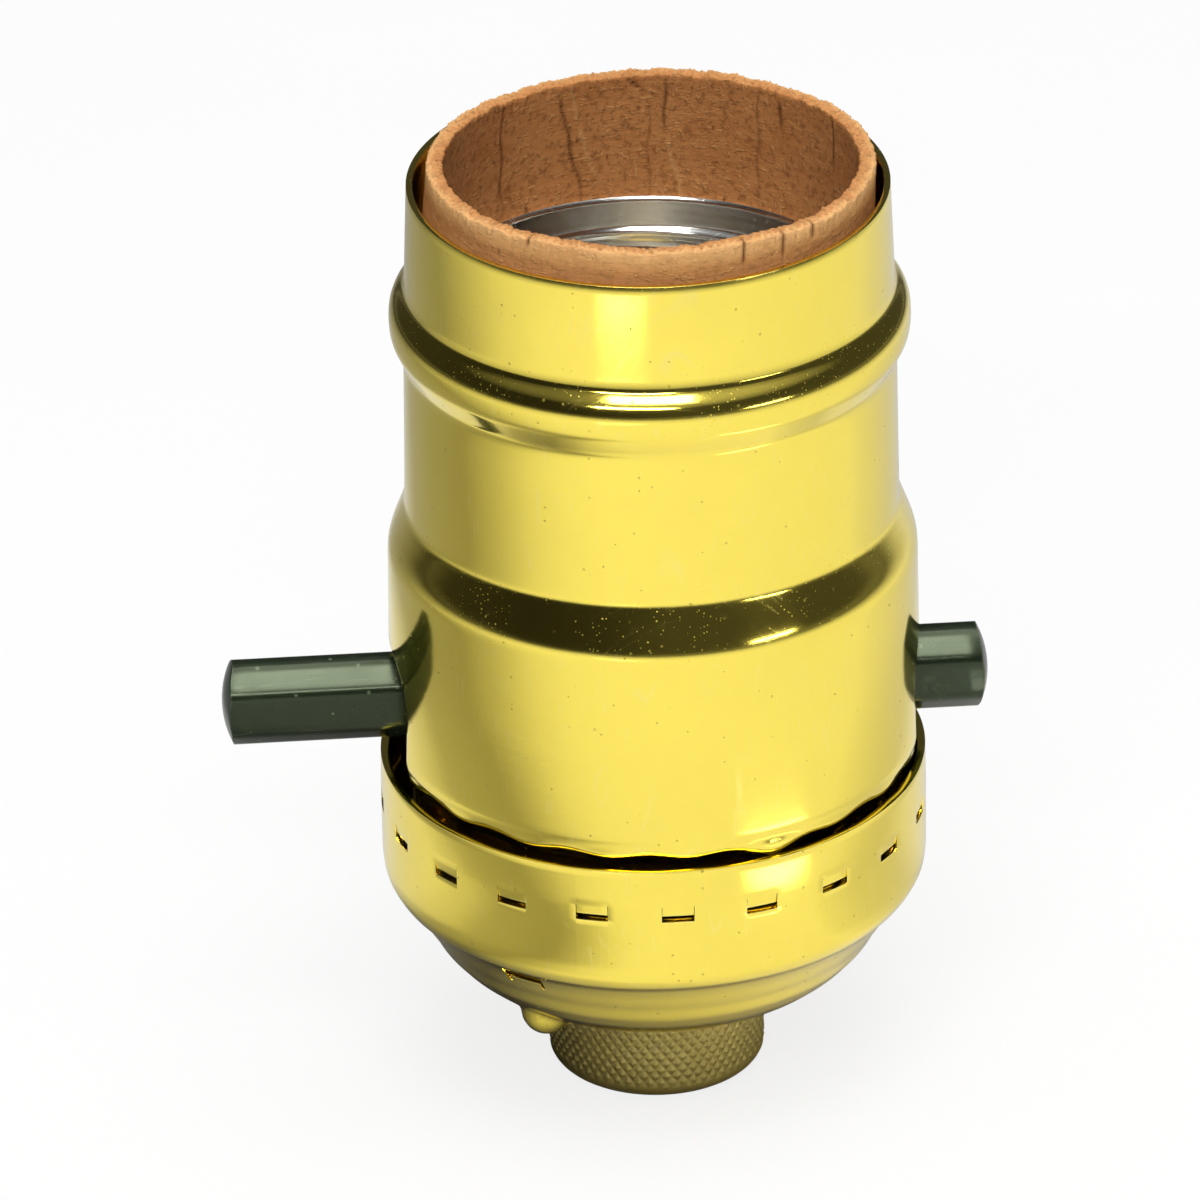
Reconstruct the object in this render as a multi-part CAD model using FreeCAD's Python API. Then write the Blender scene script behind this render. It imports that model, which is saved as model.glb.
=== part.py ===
import FreeCAD, Part
import math
import os
from FreeCAD import Vector

# A push-through lamp holder for a medium screw lamp. All sizes are millimetres and degrees.
# The origin is the centre of the hub's bottom face and +Z points to the lamp.
# The push bar runs along X with its long end at -X, and the wires enter through the hub.

# Threaded hub, a turned brass bush for a 1/8 pipe nipple
hub_radius = 6.98
hub_height = 5.5
hub_foot_fillet = 1.3
nipple_bore_radius = 4.65
hub_neck_radius = 6.1
hub_stake_radius = 6.9
hub_stake_height = 0.75
hub_sleeve_radius = 6.5
hub_sleeve_height = 4.0

# Cap, a drawn cup: land at the hub, bowl, small step, cone, corner, wall
cap_radius = 17.45
cap_sheet = 0.5
land_margin = 0.45
bowl_depth = 5.8
crease_radius = 9.6
crease_rise = 1.25
bowl_mid_radius = 12.6
bowl_mid_rise = 2.9
step_inset = 2.6
cone_rise = 2.4
corner_inset = 0.9
corner_rise = 1.7
cap_wall_height = 7.2

# Tabs lanced in the cap's wall, which grip the shell
tab_count = 20
tab_width = 2.0
tab_length = 1.6
tab_slit = 0.55
tab_drop_from_rim = 1.5
tab_push = 0.22
lance_cut = 0.1

# Pocket drawn in the bowl for the set screw, open at its front side, with a slit above it
pocket_angle = 44.0
pocket_radius = 1.62
pocket_sheet = 0.35
pocket_axis_rise = 2.46
pocket_mouth_side = 0.3
pocket_reach = 11.1
pocket_slit_angle = 36.4
pocket_slit_width = 2.7
pocket_slit_height = 0.35
pocket_slit_rise = 7.5
pocket_slit_leg = 0.5
pocket_slit_leg_width = 0.2

# Set screw, headless, with a driver slot in its outer end
set_screw_radius = 1.0
set_screw_length = 5.6
set_screw_seat = 0.25
set_screw_slot_width = 0.4

# Outer shell, a drawn tube: rim, bead, middle, shoulder, skirt and a neck inside the cap
shell_sheet = 0.4
shell_height = 46.4
shell_rim_radius = 15.16
bead_drop = 7.3
bead_width = 4.1
bead_upper_radius = 15.42
bead_peak_radius = 16.4
bead_lower_radius = 15.53
shoulder_drop = 21.8
shoulder_height = 3.2
shoulder_upper_radius = 15.72
shoulder_lower_radius = 16.78
skirt_radius = 16.95
skirt_drop = 38.3
neck_turn = 1.4
neck_clearance = 0.8
shell_shift_x = 0.15
shell_shift_y = -0.1

# Slots in the shell for the bar, open at the shell's foot
slot_arch_radius = 5.3
slot_half_width = 4.75
slot_arch_drop = 1.4

# Insulating liner, a cardboard tube whose cut edge is furred and leans inward
liner_radius = 14.3
liner_wall = 0.68
liner_proud_front = 2.0
liner_proud_back = 1.3
liner_edge_inset = 0.28
liner_edge_wall = 1.05
liner_lean = 0.4
liner_lean_height = 7.5
liner_slot_half_width = 5.6
liner_slot_above_bar = 2.2

# Fibre ring under the switch block
insulator_thickness = 0.85
insulator_bore_radius = 9.0
seat_step = 0.7

# Moulded switch block
block_radius = 13.2
terminal_flat = 9.6
flange_thickness = 2.9
flange_clearance = 0.85
base_body_height = 8.35
cover_roof = 2.95
cover_boss_radius = 5.0
cover_boss_height = 0.6
moulding_chamfer = 0.4

# Push bar
bar_length = 49.0
bar_height = 5.7
bar_depth = 4.1
bar_chamfer = 1.45
bar_end_dome_radius = 6.0
bar_travel = 6.0
bar_clearance = 0.1

# Contact arm and its pins
pivot_drop = 6.55
drive_pin_rise = 2.55
pin_radius = 0.75
pin_clearance = 0.05
arm_thickness = 1.0
arm_half_width = 1.7
arm_boss_radius = 1.9
arm_tip_length = 1.15
fork_clearance = 0.1
limb_reach = 6.5
limb_half_width = 1.0
limb_pad_half_length = 1.4
limb_pad_half_depth = 1.6
limb_pad_thickness = 0.7
moving_gap = 0.3

# Contacts, strips and rivets
contact_radius = 1.25
contact_height = 0.7
contact_gap = 0.05
strip_thickness = 0.7
strip_clearance = 0.05
hot_leg_half_width = 2.0
terminal_half_width = 3.6
terminal_rise = 6.6
terminal_screw_offset = 2.2
neutral_half_width = 3.0
neutral_reach = 4.2
neutral_reach_clearance = 0.1
centre_strip_half_width = 1.8
centre_strip_thickness = 0.6
centre_strip_offset = 3.2
tongue_rise = 2.0

# Terminal screws
terminal_screw_radius = 1.6
terminal_screw_length = 5.0
terminal_head_radius = 3.1
terminal_head_height = 1.8
driver_slot_width = 0.8
driver_slot_depth = 0.7
screw_clearance = 0.05

# Screws through the block and rivets of the screw shell
assembly_screw_x = 8.4
assembly_screw_y = 6.2
assembly_screw_radius = 1.25
assembly_head_radius = 2.3
assembly_head_height = 1.7
assembly_screw_tip_below_top = 1.6
rivet_radius = 1.1
rivet_head_radius = 2.2
rivet_head_height = 0.7
rivet_foot_radius = 1.8
rivet_foot_height = 0.8
rivet_offset = 7.4

# Detent spring beside the bar
detent_x = 8.0
detent_strip = 0.3
detent_strip_height = 2.2
detent_bump = 0.6
detent_bump_half_length = 1.2
detent_half_length = 4.6
detent_groove_depth = 0.8
detent_notch_extra = 0.4
detent_pocket_depth = 1.4

# Screw shell with the rolled lamp thread
screw_shell_height = 21.95
screw_shell_sheet = 0.25
thread_pitch = 3.629
thread_major_radius = 13.22
thread_minor_radius = 12.38
thread_neck_radius = 12.6
thread_foot = 1.6
thread_collar = 3.2
screw_shell_floor_hole = 5.4

# Heights worked out from the sizes above, from the hub's foot up
land_z = hub_height
step_z = land_z + bowl_depth
cone_top_z = step_z + cone_rise
cap_wall_z = cone_top_z + corner_rise
cap_rim_z = cap_wall_z + cap_wall_height
land_radius = hub_radius + land_margin
neck_radius = cap_radius - cap_sheet - neck_clearance
flange_radius = cap_radius - cap_sheet - flange_clearance
step_radius = cap_radius - step_inset
cone_top_radius = cap_radius - corner_inset
insulator_z = step_z + seat_step
block_z = insulator_z + insulator_thickness
flange_top_z = block_z + flange_thickness
split_z = flange_top_z + base_body_height
bar_bottom_z = split_z + bar_clearance
bar_z = bar_bottom_z + bar_height / 2
channel_top_z = bar_bottom_z + bar_height + bar_clearance
cover_top_z = channel_top_z + cover_roof
seat_gap = 0.3
shell_foot_z = flange_top_z + seat_gap
shell_rim_z = shell_foot_z + shell_height
pivot_z = split_z - pivot_drop
drive_pin_z = bar_bottom_z + drive_pin_rise
screw_shell_top_z = cover_top_z + screw_shell_height
rest_bar_x = -bar_travel / 2
lever = drive_pin_z - pivot_z
half_swing = math.degrees(math.atan(bar_travel / 2 / lever))
channel_half_depth = bar_depth / 2 + bar_clearance

# A drop far past the part, for cuts that run out of it
beyond = 60.0


def at(radius, height):
    """A point of a turned profile, in the XZ plane."""
    return Vector(radius, 0, height)


def line(start, end):
    return Part.makeLine(start, end)


def arc(start, middle, end):
    return Part.Arc(start, middle, end).toShape()


def turned(face):
    """A full turn of a profile face about Z."""
    return face.revolve(Vector(0, 0, 0), Vector(0, 0, 1), 360)


def turned_polygon(corners):
    """A solid turned from (radius, height) corners."""
    points = [at(radius, height) for radius, height in corners]
    wire = Part.makePolygon(points + points[:1])
    return turned(Part.Face(wire))


def turned_sheet(edges, thickness):
    """A turned sheet whose outside follows the edges, given from the top down."""
    outline = Part.Wire(edges)
    band = outline.makeOffset2D(-thickness, 2, True, True)
    return turned(band)


def cylinder(radius, low, high, x=0.0, y=0.0):
    return Part.makeCylinder(radius, high - low, Vector(x, y, low))


def rod(radius, start, end):
    """A round rod from one point to another."""
    span = end - start
    return Part.makeCylinder(radius, span.Length, start, span)


def box(x_range, y_range, z_range):
    corner = Vector(x_range[0], y_range[0], z_range[0])
    sizes = [high - low for low, high in (x_range, y_range, z_range)]
    return Part.makeBox(sizes[0], sizes[1], sizes[2], corner)


def plate(corners, y_range):
    """A flat plate: a polygon of (x, z) corners, thick along Y."""
    points = [Vector(x, y_range[0], z) for x, z in corners]
    face = Part.Face(Part.makePolygon(points + points[:1]))
    return face.extrude(Vector(0, y_range[1] - y_range[0], 0))


def bent_strip(path, thickness, half_width):
    """A strip bent along a path of (y, z) points, the sheet on its left, wide along X."""
    points = [Vector(-half_width, y, z) for y, z in path]
    band = Part.makePolygon(points).makeOffset2D(thickness, 2, True, True)
    return band.extrude(Vector(2 * half_width, 0, 0))


def turned_about_z(shape, angle):
    copy = shape.copy()
    copy.rotate(Vector(0, 0, 0), Vector(0, 0, 1), angle)
    return copy


def turned_about_pivot(shape, angle):
    """Swing about the arm's pin: a positive angle takes the top towards +X."""
    copy = shape.copy()
    copy.rotate(Vector(0, 0, pivot_z), Vector(0, 1, 0), angle)
    return copy


def rounded_foot(radius, fillet):
    """Corners that round a foot at height 0 with a quarter circle of short cones."""
    steps = 3
    corners = []
    for step in range(steps + 1):
        angle = math.pi / 2 * step / steps
        corners.append((radius - fillet * (1 - math.sin(angle)), fillet * (1 - math.cos(angle))))
    return corners


def threaded_hub():
    body = turned_polygon([(0, 0)] + rounded_foot(hub_radius, hub_foot_fillet) +
                          [(hub_radius, hub_height), (0, hub_height)])
    inside_z = hub_height + cap_sheet
    neck = cylinder(hub_neck_radius, hub_height, inside_z)
    stake = cylinder(hub_stake_radius, inside_z, inside_z + hub_stake_height)
    sleeve = cylinder(hub_sleeve_radius, inside_z, inside_z + hub_sleeve_height)
    bore = cylinder(nipple_bore_radius, -1, inside_z + hub_sleeve_height + 1)
    hub = body.fuse([neck, stake, sleeve]).cut(bore)
    thread = rod(set_screw_radius + screw_clearance, pocket_point(0), pocket_point(beyond))
    return hub.cut(thread).removeSplitter()


def pocket_point(reach, rise=0.0):
    """A point on the set screw's axis, out from the hub's axis."""
    angle = math.radians(pocket_angle)
    height = land_z + pocket_axis_rise + rise
    return Vector(-reach * math.sin(angle), -reach * math.cos(angle), height)


def set_screw():
    start = nipple_bore_radius + set_screw_seat
    end = start + set_screw_length
    shank = rod(set_screw_radius, pocket_point(start), pocket_point(end))
    half = set_screw_slot_width / 2
    slot = box((-half, half), (-end - 1, -end + driver_slot_depth), (0, beyond))
    return shank.cut(turned_about_z(slot, -pocket_angle))


def cap_profile():
    """The cap's outside from the rim to the hole for the hub."""
    rim = at(cap_radius, cap_rim_z)
    wall_foot = at(cap_radius, cap_wall_z)
    corner = at(cap_radius - 0.24 * corner_inset, cap_wall_z - 0.55 * corner_rise)
    cone_top = at(cone_top_radius, cone_top_z)
    step = at(step_radius, step_z)
    bowl_mid = at(bowl_mid_radius, land_z + bowl_mid_rise)
    crease = at(crease_radius, land_z + crease_rise)
    land = at(land_radius, land_z)
    hole = at(hub_neck_radius, land_z)
    path = [rim, wall_foot, corner, cone_top, step, bowl_mid, crease, land, hole]
    return [line(start, end) for start, end in zip(path, path[1:])]


def cap_inner_radius(height):
    """The inside radius of the cap's cone at a height."""
    slope = (cone_top_radius - step_radius) / cone_rise
    outside = step_radius + slope * (height - step_z)
    return outside - cap_sheet * math.hypot(1, slope)


def lanced_tabs():
    """The windows to cut in the cap's wall and the tabs that hang in them, pushed inward."""
    slit_top_z = cap_rim_z - tab_drop_from_rim - tab_length
    hinge_z = slit_top_z + tab_length
    window = box((-tab_width / 2 - lance_cut, tab_width / 2 + lance_cut),
                 (-cap_radius - 1, -cap_radius + 2 * cap_sheet),
                 (slit_top_z - tab_slit, hinge_z))
    tab = box((-tab_width / 2, tab_width / 2),
              (-cap_radius + 0.02, -cap_radius + cap_sheet - 0.02),
              (slit_top_z, hinge_z + 0.1))
    lean = math.degrees(math.atan(tab_push / tab_length))
    tab.rotate(Vector(0, -cap_radius, hinge_z), Vector(1, 0, 0), lean)
    angles = [360.0 * index / tab_count for index in range(tab_count)]
    windows = [turned_about_z(window, angle) for angle in angles]
    tabs = [turned_about_z(tab, angle) for angle in angles]
    return windows, tabs


def pocket_hull(radius):
    """A round-ended finger along the set screw's axis."""
    finger = rod(radius, pocket_point(land_radius), pocket_point(pocket_reach))
    end = Part.makeSphere(radius, pocket_point(pocket_reach))
    return finger.fuse(end)


def cap():
    body = turned_sheet(cap_profile(), cap_sheet)
    inner = turned_polygon([(0, step_z + beyond), (0, land_z + cap_sheet)] +
                           [(corner.x, corner.z) for corner in bowl_inside_points()] +
                           [(cap_radius - cap_sheet, step_z + beyond)])
    below_bowl = pocket_hull(pocket_radius).cut([inner, pocket_mouth()])
    hollow = pocket_hull(pocket_radius - pocket_sheet)
    body = body.fuse(below_bowl).cut(hollow)
    windows, tabs = lanced_tabs()
    body = body.cut(pocket_slit() + windows)
    return body.fuse(tabs).removeSplitter()


def pocket_mouth():
    """The opening in the pocket's front side, from its middle to the land."""
    mouth = box((-pocket_mouth_side, beyond), (-pocket_reach, 0), (0, beyond))
    return turned_about_z(mouth, -pocket_angle)


def pocket_slit():
    """The cuts above the pocket: a level slit with a short leg down at each end."""
    half = pocket_slit_width / 2
    low = land_z + pocket_slit_rise
    cuts = [box((-half, half), (-beyond, 0), (low, low + pocket_slit_height))]
    for x in (-half, half - pocket_slit_leg_width):
        cuts.append(box((x, x + pocket_slit_leg_width), (-beyond, 0), (low - pocket_slit_leg, low)))
    return [turned_about_z(cut, -pocket_slit_angle) for cut in cuts]


def bowl_inside_points():
    """Corners that follow the bowl's inside, from the land out to the wall."""
    rise = cap_sheet * 0.9
    return [at(land_radius - rise, land_z + cap_sheet),
            at(crease_radius - 0.3, land_z + crease_rise + rise),
            at(bowl_mid_radius - 0.3, land_z + bowl_mid_rise + rise),
            at(step_radius - rise, step_z + 0.2),
            at(cap_inner_radius(cone_top_z), cone_top_z),
            at(cap_radius - cap_sheet, cap_wall_z)]


def cap_insulator():
    low = insulator_z
    high = block_z
    return turned_polygon([(insulator_bore_radius, low), (cap_inner_radius(low) - 0.1, low),
                           (cap_inner_radius(high) - 0.1, high), (insulator_bore_radius, high)])


def shell_profile():
    """The shell's outside from the rim to the top of the neck."""
    rim = at(shell_rim_radius, shell_rim_z)
    bead_z = shell_rim_z - bead_drop
    bead_top = at(bead_upper_radius, bead_z)
    bead_peak = at(bead_peak_radius, bead_z - bead_width / 2)
    bead_foot = at(bead_lower_radius, bead_z - bead_width)
    shoulder_z = shell_rim_z - shoulder_drop
    shoulder_top = at(shoulder_upper_radius, shoulder_z)
    swell = shoulder_upper_radius + 0.72 * (shoulder_lower_radius - shoulder_upper_radius)
    shoulder_mid = at(swell, shoulder_z - 0.55 * shoulder_height)
    shoulder_foot = at(shoulder_lower_radius, shoulder_z - shoulder_height)
    skirt_foot = at(skirt_radius, shell_rim_z - skirt_drop)
    turn_mid = at(skirt_radius - 0.3 * (skirt_radius - neck_radius), skirt_foot.z - 0.62 * neck_turn)
    neck_top = at(neck_radius, skirt_foot.z - neck_turn)
    return [line(rim, bead_top), arc(bead_top, bead_peak, bead_foot), line(bead_foot, shoulder_top),
            line(shoulder_top, shoulder_mid), line(shoulder_mid, shoulder_foot), line(shoulder_foot, skirt_foot),
            line(skirt_foot, turn_mid), line(turn_mid, neck_top), line(neck_top, at(neck_radius, shell_foot_z))]


def slot_cutter(arch_radius, half_width, arch_z):
    """A keyhole slot through both sides along X, open downward."""
    arch = Part.makeCylinder(arch_radius, 2 * beyond, Vector(-beyond, 0, arch_z), Vector(1, 0, 0))
    legs = box((-beyond, beyond), (-half_width, half_width), (arch_z - beyond, arch_z))
    return arch.fuse(legs)


def outer_shell():
    body = turned_sheet(shell_profile(), shell_sheet)
    body.translate(Vector(shell_shift_x, shell_shift_y, 0))
    slots = slot_cutter(slot_arch_radius, slot_half_width, bar_z - slot_arch_drop)
    return body.cut(slots)


def insulating_liner():
    top_z = shell_rim_z + liner_proud_front
    lean_z = top_z - liner_lean_height

    def tube(low_radius, high_radius):
        low = cylinder(low_radius, shell_foot_z, lean_z)
        base = Part.Wire(Part.makeCircle(low_radius, Vector(0, 0, lean_z)))
        edge = Part.Wire(Part.makeCircle(high_radius, Vector(liner_lean, 0, top_z)))
        return low.fuse(Part.makeLoft([base, edge], True))

    edge_radius = liner_radius - liner_edge_inset
    liner = tube(liner_radius, edge_radius).cut(
        tube(liner_radius - liner_wall, edge_radius - liner_edge_wall))
    drop = liner_proud_front - liner_proud_back
    trim = box((-beyond, beyond), (0, beyond), (0, beyond))
    trim.rotate(Vector(0, 0, 0), Vector(1, 0, 0), -math.degrees(math.atan(drop / (2 * liner_radius))))
    trim.translate(Vector(0, -liner_radius, top_z))
    slots = box((-beyond, beyond), (-liner_slot_half_width, liner_slot_half_width),
                (0, bar_bottom_z + bar_height + liner_slot_above_bar))
    return liner.cut([trim, slots])


def push_bar():
    half = bar_depth / 2
    low = bar_bottom_z
    high = bar_bottom_z + bar_height
    corners = [(half - bar_chamfer, low), (half, low + bar_chamfer), (half, high - bar_chamfer),
               (half - bar_chamfer, high), (bar_chamfer - half, high), (-half, high - bar_chamfer),
               (-half, low + bar_chamfer), (bar_chamfer - half, low)]
    start = rest_bar_x - bar_length / 2
    points = [Vector(start, y, z) for y, z in corners]
    prism = Part.Face(Part.makePolygon(points + points[:1])).extrude(Vector(bar_length, 0, 0))
    bar = prism.common(domed_rod(bar_end_dome_radius, start, start + bar_length))
    return bar.cut([arm_slot(), drive_pin_hole(), detent_groove()]).removeSplitter()


def domed_rod(radius, start_x, end_x):
    """A round rod along the bar's axis with a half ball at each end."""
    edge = bar_z - radius
    side = radius * math.sqrt(0.5)
    left = arc(at(start_x, bar_z), at(start_x + radius - side, bar_z - side), at(start_x + radius, edge))
    right = arc(at(end_x - radius, edge), at(end_x - radius + side, bar_z - side), at(end_x, bar_z))
    outline = Part.Wire([left, line(at(start_x + radius, edge), at(end_x - radius, edge)), right,
                         line(at(end_x, bar_z), at(start_x, bar_z))])
    return Part.Face(outline).revolve(Vector(0, 0, bar_z), Vector(1, 0, 0), 360)


def arm_slot():
    """The slot in the bar's underside that lets the arm's fork in."""
    swing = math.tan(math.radians(half_swing)) * drive_pin_rise
    half_length = swing + arm_half_width / math.cos(math.radians(half_swing)) + moving_gap
    half_depth = arm_thickness / 2 + moving_gap
    top = pivot_z + arm_length() + moving_gap
    return box((rest_bar_x - half_length, rest_bar_x + half_length), (-half_depth, half_depth),
               (bar_bottom_z - 1, top))


def arm_length():
    """From the pivot to the fork's tip: past the pin at the ends of its travel."""
    return lever / math.cos(math.radians(half_swing)) + arm_tip_length


def drive_pin_span():
    return bar_depth / 2 - 0.2


def drive_pin_hole():
    span = drive_pin_span()
    return rod(pin_radius, Vector(rest_bar_x, -span, drive_pin_z), Vector(rest_bar_x, span, drive_pin_z))


def drive_pin():
    return drive_pin_hole()


def detent_groove():
    """A groove in the bar's -Y side, as long as the travel, with a notch at each end."""
    low = bar_z - detent_strip_height / 2 - 0.15
    high = bar_z + detent_strip_height / 2 + 0.15
    face = -bar_depth / 2
    reach = detent_bump_half_length + bar_clearance
    rest_notch = detent_x
    far_notch = detent_x - bar_travel
    groove = box((far_notch - reach, rest_notch + reach), (face - 1, face + detent_groove_depth), (low, high))
    notches = [box((x - 0.35, x + 0.35), (face - 1, face + detent_groove_depth + detent_notch_extra),
                   (low, high)) for x in (rest_notch, far_notch)]
    return groove.fuse(notches)


def detent_spring():
    """A leaf spring with a rounded bump that reaches into the bar's groove."""
    back = -channel_half_depth - detent_pocket_depth + detent_strip + 0.1
    bump = -bar_depth / 2 + detent_bump
    reach = detent_bump_half_length
    end = detent_half_length
    root = -bar_depth / 2 - bar_clearance
    tip = 0.3 * reach
    path = [(-end, back), (-reach, root), (-tip, bump), (tip, bump), (reach, root), (end, back)]
    low = bar_z - detent_strip_height / 2
    points = [Vector(detent_x + x, y, low) for x, y in path]
    band = Part.makePolygon(points).makeOffset2D(detent_strip, 2, True, True)
    return band.extrude(Vector(0, 0, detent_strip_height))


def detent_pocket():
    """The room for the leaf spring, in the wall of the bar's channel."""
    reach = detent_half_length + 0.3
    return box((detent_x - reach, detent_x + reach),
               (-channel_half_depth - detent_pocket_depth, -channel_half_depth + 0.1),
               (split_z - 1, bar_z + detent_strip_height / 2 + 0.1))


def pivot_pin():
    return rod(pin_radius, Vector(0, -terminal_flat + 0.3, pivot_z), Vector(0, pivot_pin_end(), pivot_z))


def pivot_pin_end():
    return centre_strip_offset + centre_strip_thickness + 0.6


def contact_arm():
    """The forked lever, built upright with its limb where it lies when the circuit is closed."""
    tip = pivot_z + arm_length()
    side = arm_half_width
    half = arm_thickness / 2
    lever_plate = plate([(-side, pivot_z), (side, pivot_z), (side, tip), (-side, tip)], (-half, half))
    boss = rod(arm_boss_radius, Vector(0, -half - 0.6, pivot_z), Vector(0, half + 0.6, pivot_z))
    fork_low = drive_pin_z - pin_radius - fork_clearance
    fork_half = pin_radius + fork_clearance
    fork = box((-fork_half, fork_half), (-beyond, beyond), (fork_low, tip + 1))
    pin_hole = rod(pin_radius + pin_clearance, Vector(0, -beyond, pivot_z), Vector(0, beyond, pivot_z))
    limb = box((0, limb_reach + limb_pad_half_length), (-half, half),
               (pivot_z - limb_half_width, pivot_z + limb_half_width))
    pad = box((limb_reach - limb_pad_half_length, limb_reach + limb_pad_half_length),
              (-limb_pad_half_depth, limb_pad_half_depth),
              (pivot_z - limb_half_width, pivot_z - limb_half_width + limb_pad_thickness))
    limb_part = turned_about_pivot(limb.fuse(pad), -half_swing)
    arm = lever_plate.fuse([boss, limb_part]).cut([fork, pin_hole])
    return turned_about_pivot(arm, -half_swing).removeSplitter()


def moving_contact():
    top = pivot_z - limb_half_width
    button = cylinder(contact_radius, top - contact_height, top, limb_reach)
    return turned_about_pivot(button, -2 * half_swing)


def closed_contact_z():
    """The height where the moving contact's face lies when the circuit is closed."""
    return pivot_z - limb_half_width - contact_height


def leg_top_z():
    return closed_contact_z() - contact_gap - contact_height


def fixed_contact():
    return cylinder(contact_radius, leg_top_z(), leg_top_z() + contact_height, limb_reach)


def hot_terminal():
    """A plate on the block's -Y flat with a leg that runs in under the moving contact."""
    outside = -terminal_flat - strip_thickness
    low = leg_top_z() - strip_thickness
    x_range = (limb_reach - hot_leg_half_width, limb_reach + hot_leg_half_width)
    leg = box(x_range, (outside, limb_pad_half_depth), (low, leg_top_z()))
    riser = box(x_range, (outside, -terminal_flat), (low, flange_top_z + 1))
    face = box((terminal_screw_offset - terminal_half_width, x_range[1]), (outside, -terminal_flat),
               (flange_top_z, flange_top_z + terminal_rise))
    hole = rod(terminal_screw_radius + screw_clearance,
               terminal_point(-beyond), terminal_point(0))
    return leg.fuse([riser, face]).cut(hole).removeSplitter()


def terminal_point(y):
    """A point on the axis of the terminal screw of that side."""
    return Vector(terminal_screw_offset, y, flange_top_z + terminal_rise / 2)


def neutral_terminal():
    """A strap up the block's +Y flat and over onto the cover, under the screw shell."""
    low = flange_top_z
    top = cover_top_z
    inward = terminal_flat - neutral_reach
    path = [(terminal_flat, low), (terminal_flat, top - strip_thickness), (inward, top - strip_thickness)]
    strap = bent_strip(path, strip_thickness, neutral_half_width)
    pad = box((terminal_screw_offset - terminal_half_width, terminal_screw_offset + terminal_half_width),
              (terminal_flat, terminal_flat + strip_thickness), (low, low + terminal_rise))
    hole = rod(terminal_screw_radius + screw_clearance, terminal_point(0), terminal_point(beyond))
    rivet_hole = cylinder(rivet_radius + screw_clearance, split_z, cover_top_z + 1, 0, rivet_offset)
    return strap.fuse(pad).cut([hole, rivet_hole]).removeSplitter()


def terminal_screw(side):
    """A slotted screw whose head clamps the wire on its terminal plate."""
    face = side * (terminal_flat + strip_thickness + 0.05)
    head = rod(terminal_head_radius, terminal_point(face), terminal_point(face + side * terminal_head_height))
    tip = side * (terminal_flat + strip_thickness - terminal_screw_length)
    shank = rod(terminal_screw_radius, terminal_point(tip), terminal_point(face))
    top = face + side * terminal_head_height
    depths = sorted([top - side * driver_slot_depth, top + side])
    slot = box((-beyond, beyond), (depths[0], depths[1]),
               (terminal_point(0).z - driver_slot_width / 2, terminal_point(0).z + driver_slot_width / 2))
    return head.fuse(shank).cut(slot).removeSplitter()


def brass_terminal_screw():
    return terminal_screw(-1)


def silver_terminal_screw():
    return terminal_screw(1)


def centre_contact():
    """A strip from the pivot pin up through the block, bent into a spring tongue at the axis."""
    low = pivot_z - 1.8
    over = cover_top_z + cover_boss_height + strip_clearance
    back = centre_strip_offset
    tongue_top = over + tongue_rise
    path = [(back, low), (back, over), (-0.6, tongue_top), (-2.8, tongue_top - 0.9)]
    strip = bent_strip(path, centre_strip_thickness, centre_strip_half_width)
    hole = rod(pin_radius + pin_clearance, Vector(0, 0, pivot_z), Vector(0, beyond, pivot_z))
    return strip.cut(hole)


def centre_strip_slot():
    """The room for the centre contact's strip in the block."""
    half = centre_strip_half_width + strip_clearance
    return box((-half, half), (centre_strip_offset - strip_clearance,
                               centre_strip_offset + centre_strip_thickness + strip_clearance),
               (pivot_z - 1.9, cover_top_z + beyond))


def arm_chamber():
    """The hollow in the base where the arm swings."""
    half_depth = limb_pad_half_depth + 0.5
    reach = limb_reach + limb_pad_half_length + moving_gap + 0.4
    swing = math.tan(math.radians(half_swing)) * pivot_drop
    left = swing + arm_half_width / math.cos(math.radians(half_swing)) + moving_gap
    upper = box((-left, reach), (-half_depth, half_depth),
                (pivot_z - arm_boss_radius - moving_gap, split_z + 1))
    contact_well = box((limb_reach - hot_leg_half_width - moving_gap, reach), (-half_depth, half_depth),
                       (leg_top_z() - strip_thickness - strip_clearance, pivot_z))
    return upper.fuse(contact_well)


def hot_leg_slot():
    """The slot in the base's wall for the hot terminal's leg."""
    return box((limb_reach - hot_leg_half_width - strip_clearance, limb_reach + hot_leg_half_width + strip_clearance),
               (-beyond, 0),
               (leg_top_z() - strip_thickness - strip_clearance, leg_top_z() + strip_clearance))


def block_flats(low, high):
    """The two side blocks to cut from the round block for the terminals."""
    front = box((-beyond, beyond), (-beyond, -terminal_flat), (low, high))
    back = box((-beyond, beyond), (terminal_flat, beyond), (low, high))
    return [front, back]


def flange_notches():
    """Notches in the flange where the wires come up to the terminals."""
    x_range = (terminal_screw_offset - terminal_half_width - 1.6, limb_reach + hot_leg_half_width + moving_gap)
    front = box(x_range, (-beyond, -terminal_flat), (block_z - 1, flange_top_z + 1))
    back = box(x_range, (terminal_flat, beyond), (block_z - 1, flange_top_z + 1))
    return [front, back]


def assembly_screw_places():
    return [(-assembly_screw_x, -assembly_screw_y), (assembly_screw_x, assembly_screw_y)]


def assembly_screws():
    screws = []
    tip_z = cover_top_z - assembly_screw_tip_below_top
    head_low = block_z + 0.3
    for x, y in assembly_screw_places():
        head = cylinder(assembly_head_radius, head_low, head_low + assembly_head_height, x, y)
        shank = cylinder(assembly_screw_radius, head_low, tip_z, x, y)
        slot = box((x - beyond, x + beyond), (y - driver_slot_width / 2, y + driver_slot_width / 2),
                   (head_low - 1, head_low + driver_slot_depth))
        screws.append(head.fuse(shank).cut(slot).removeSplitter())
    return Part.makeCompound(screws)


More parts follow.
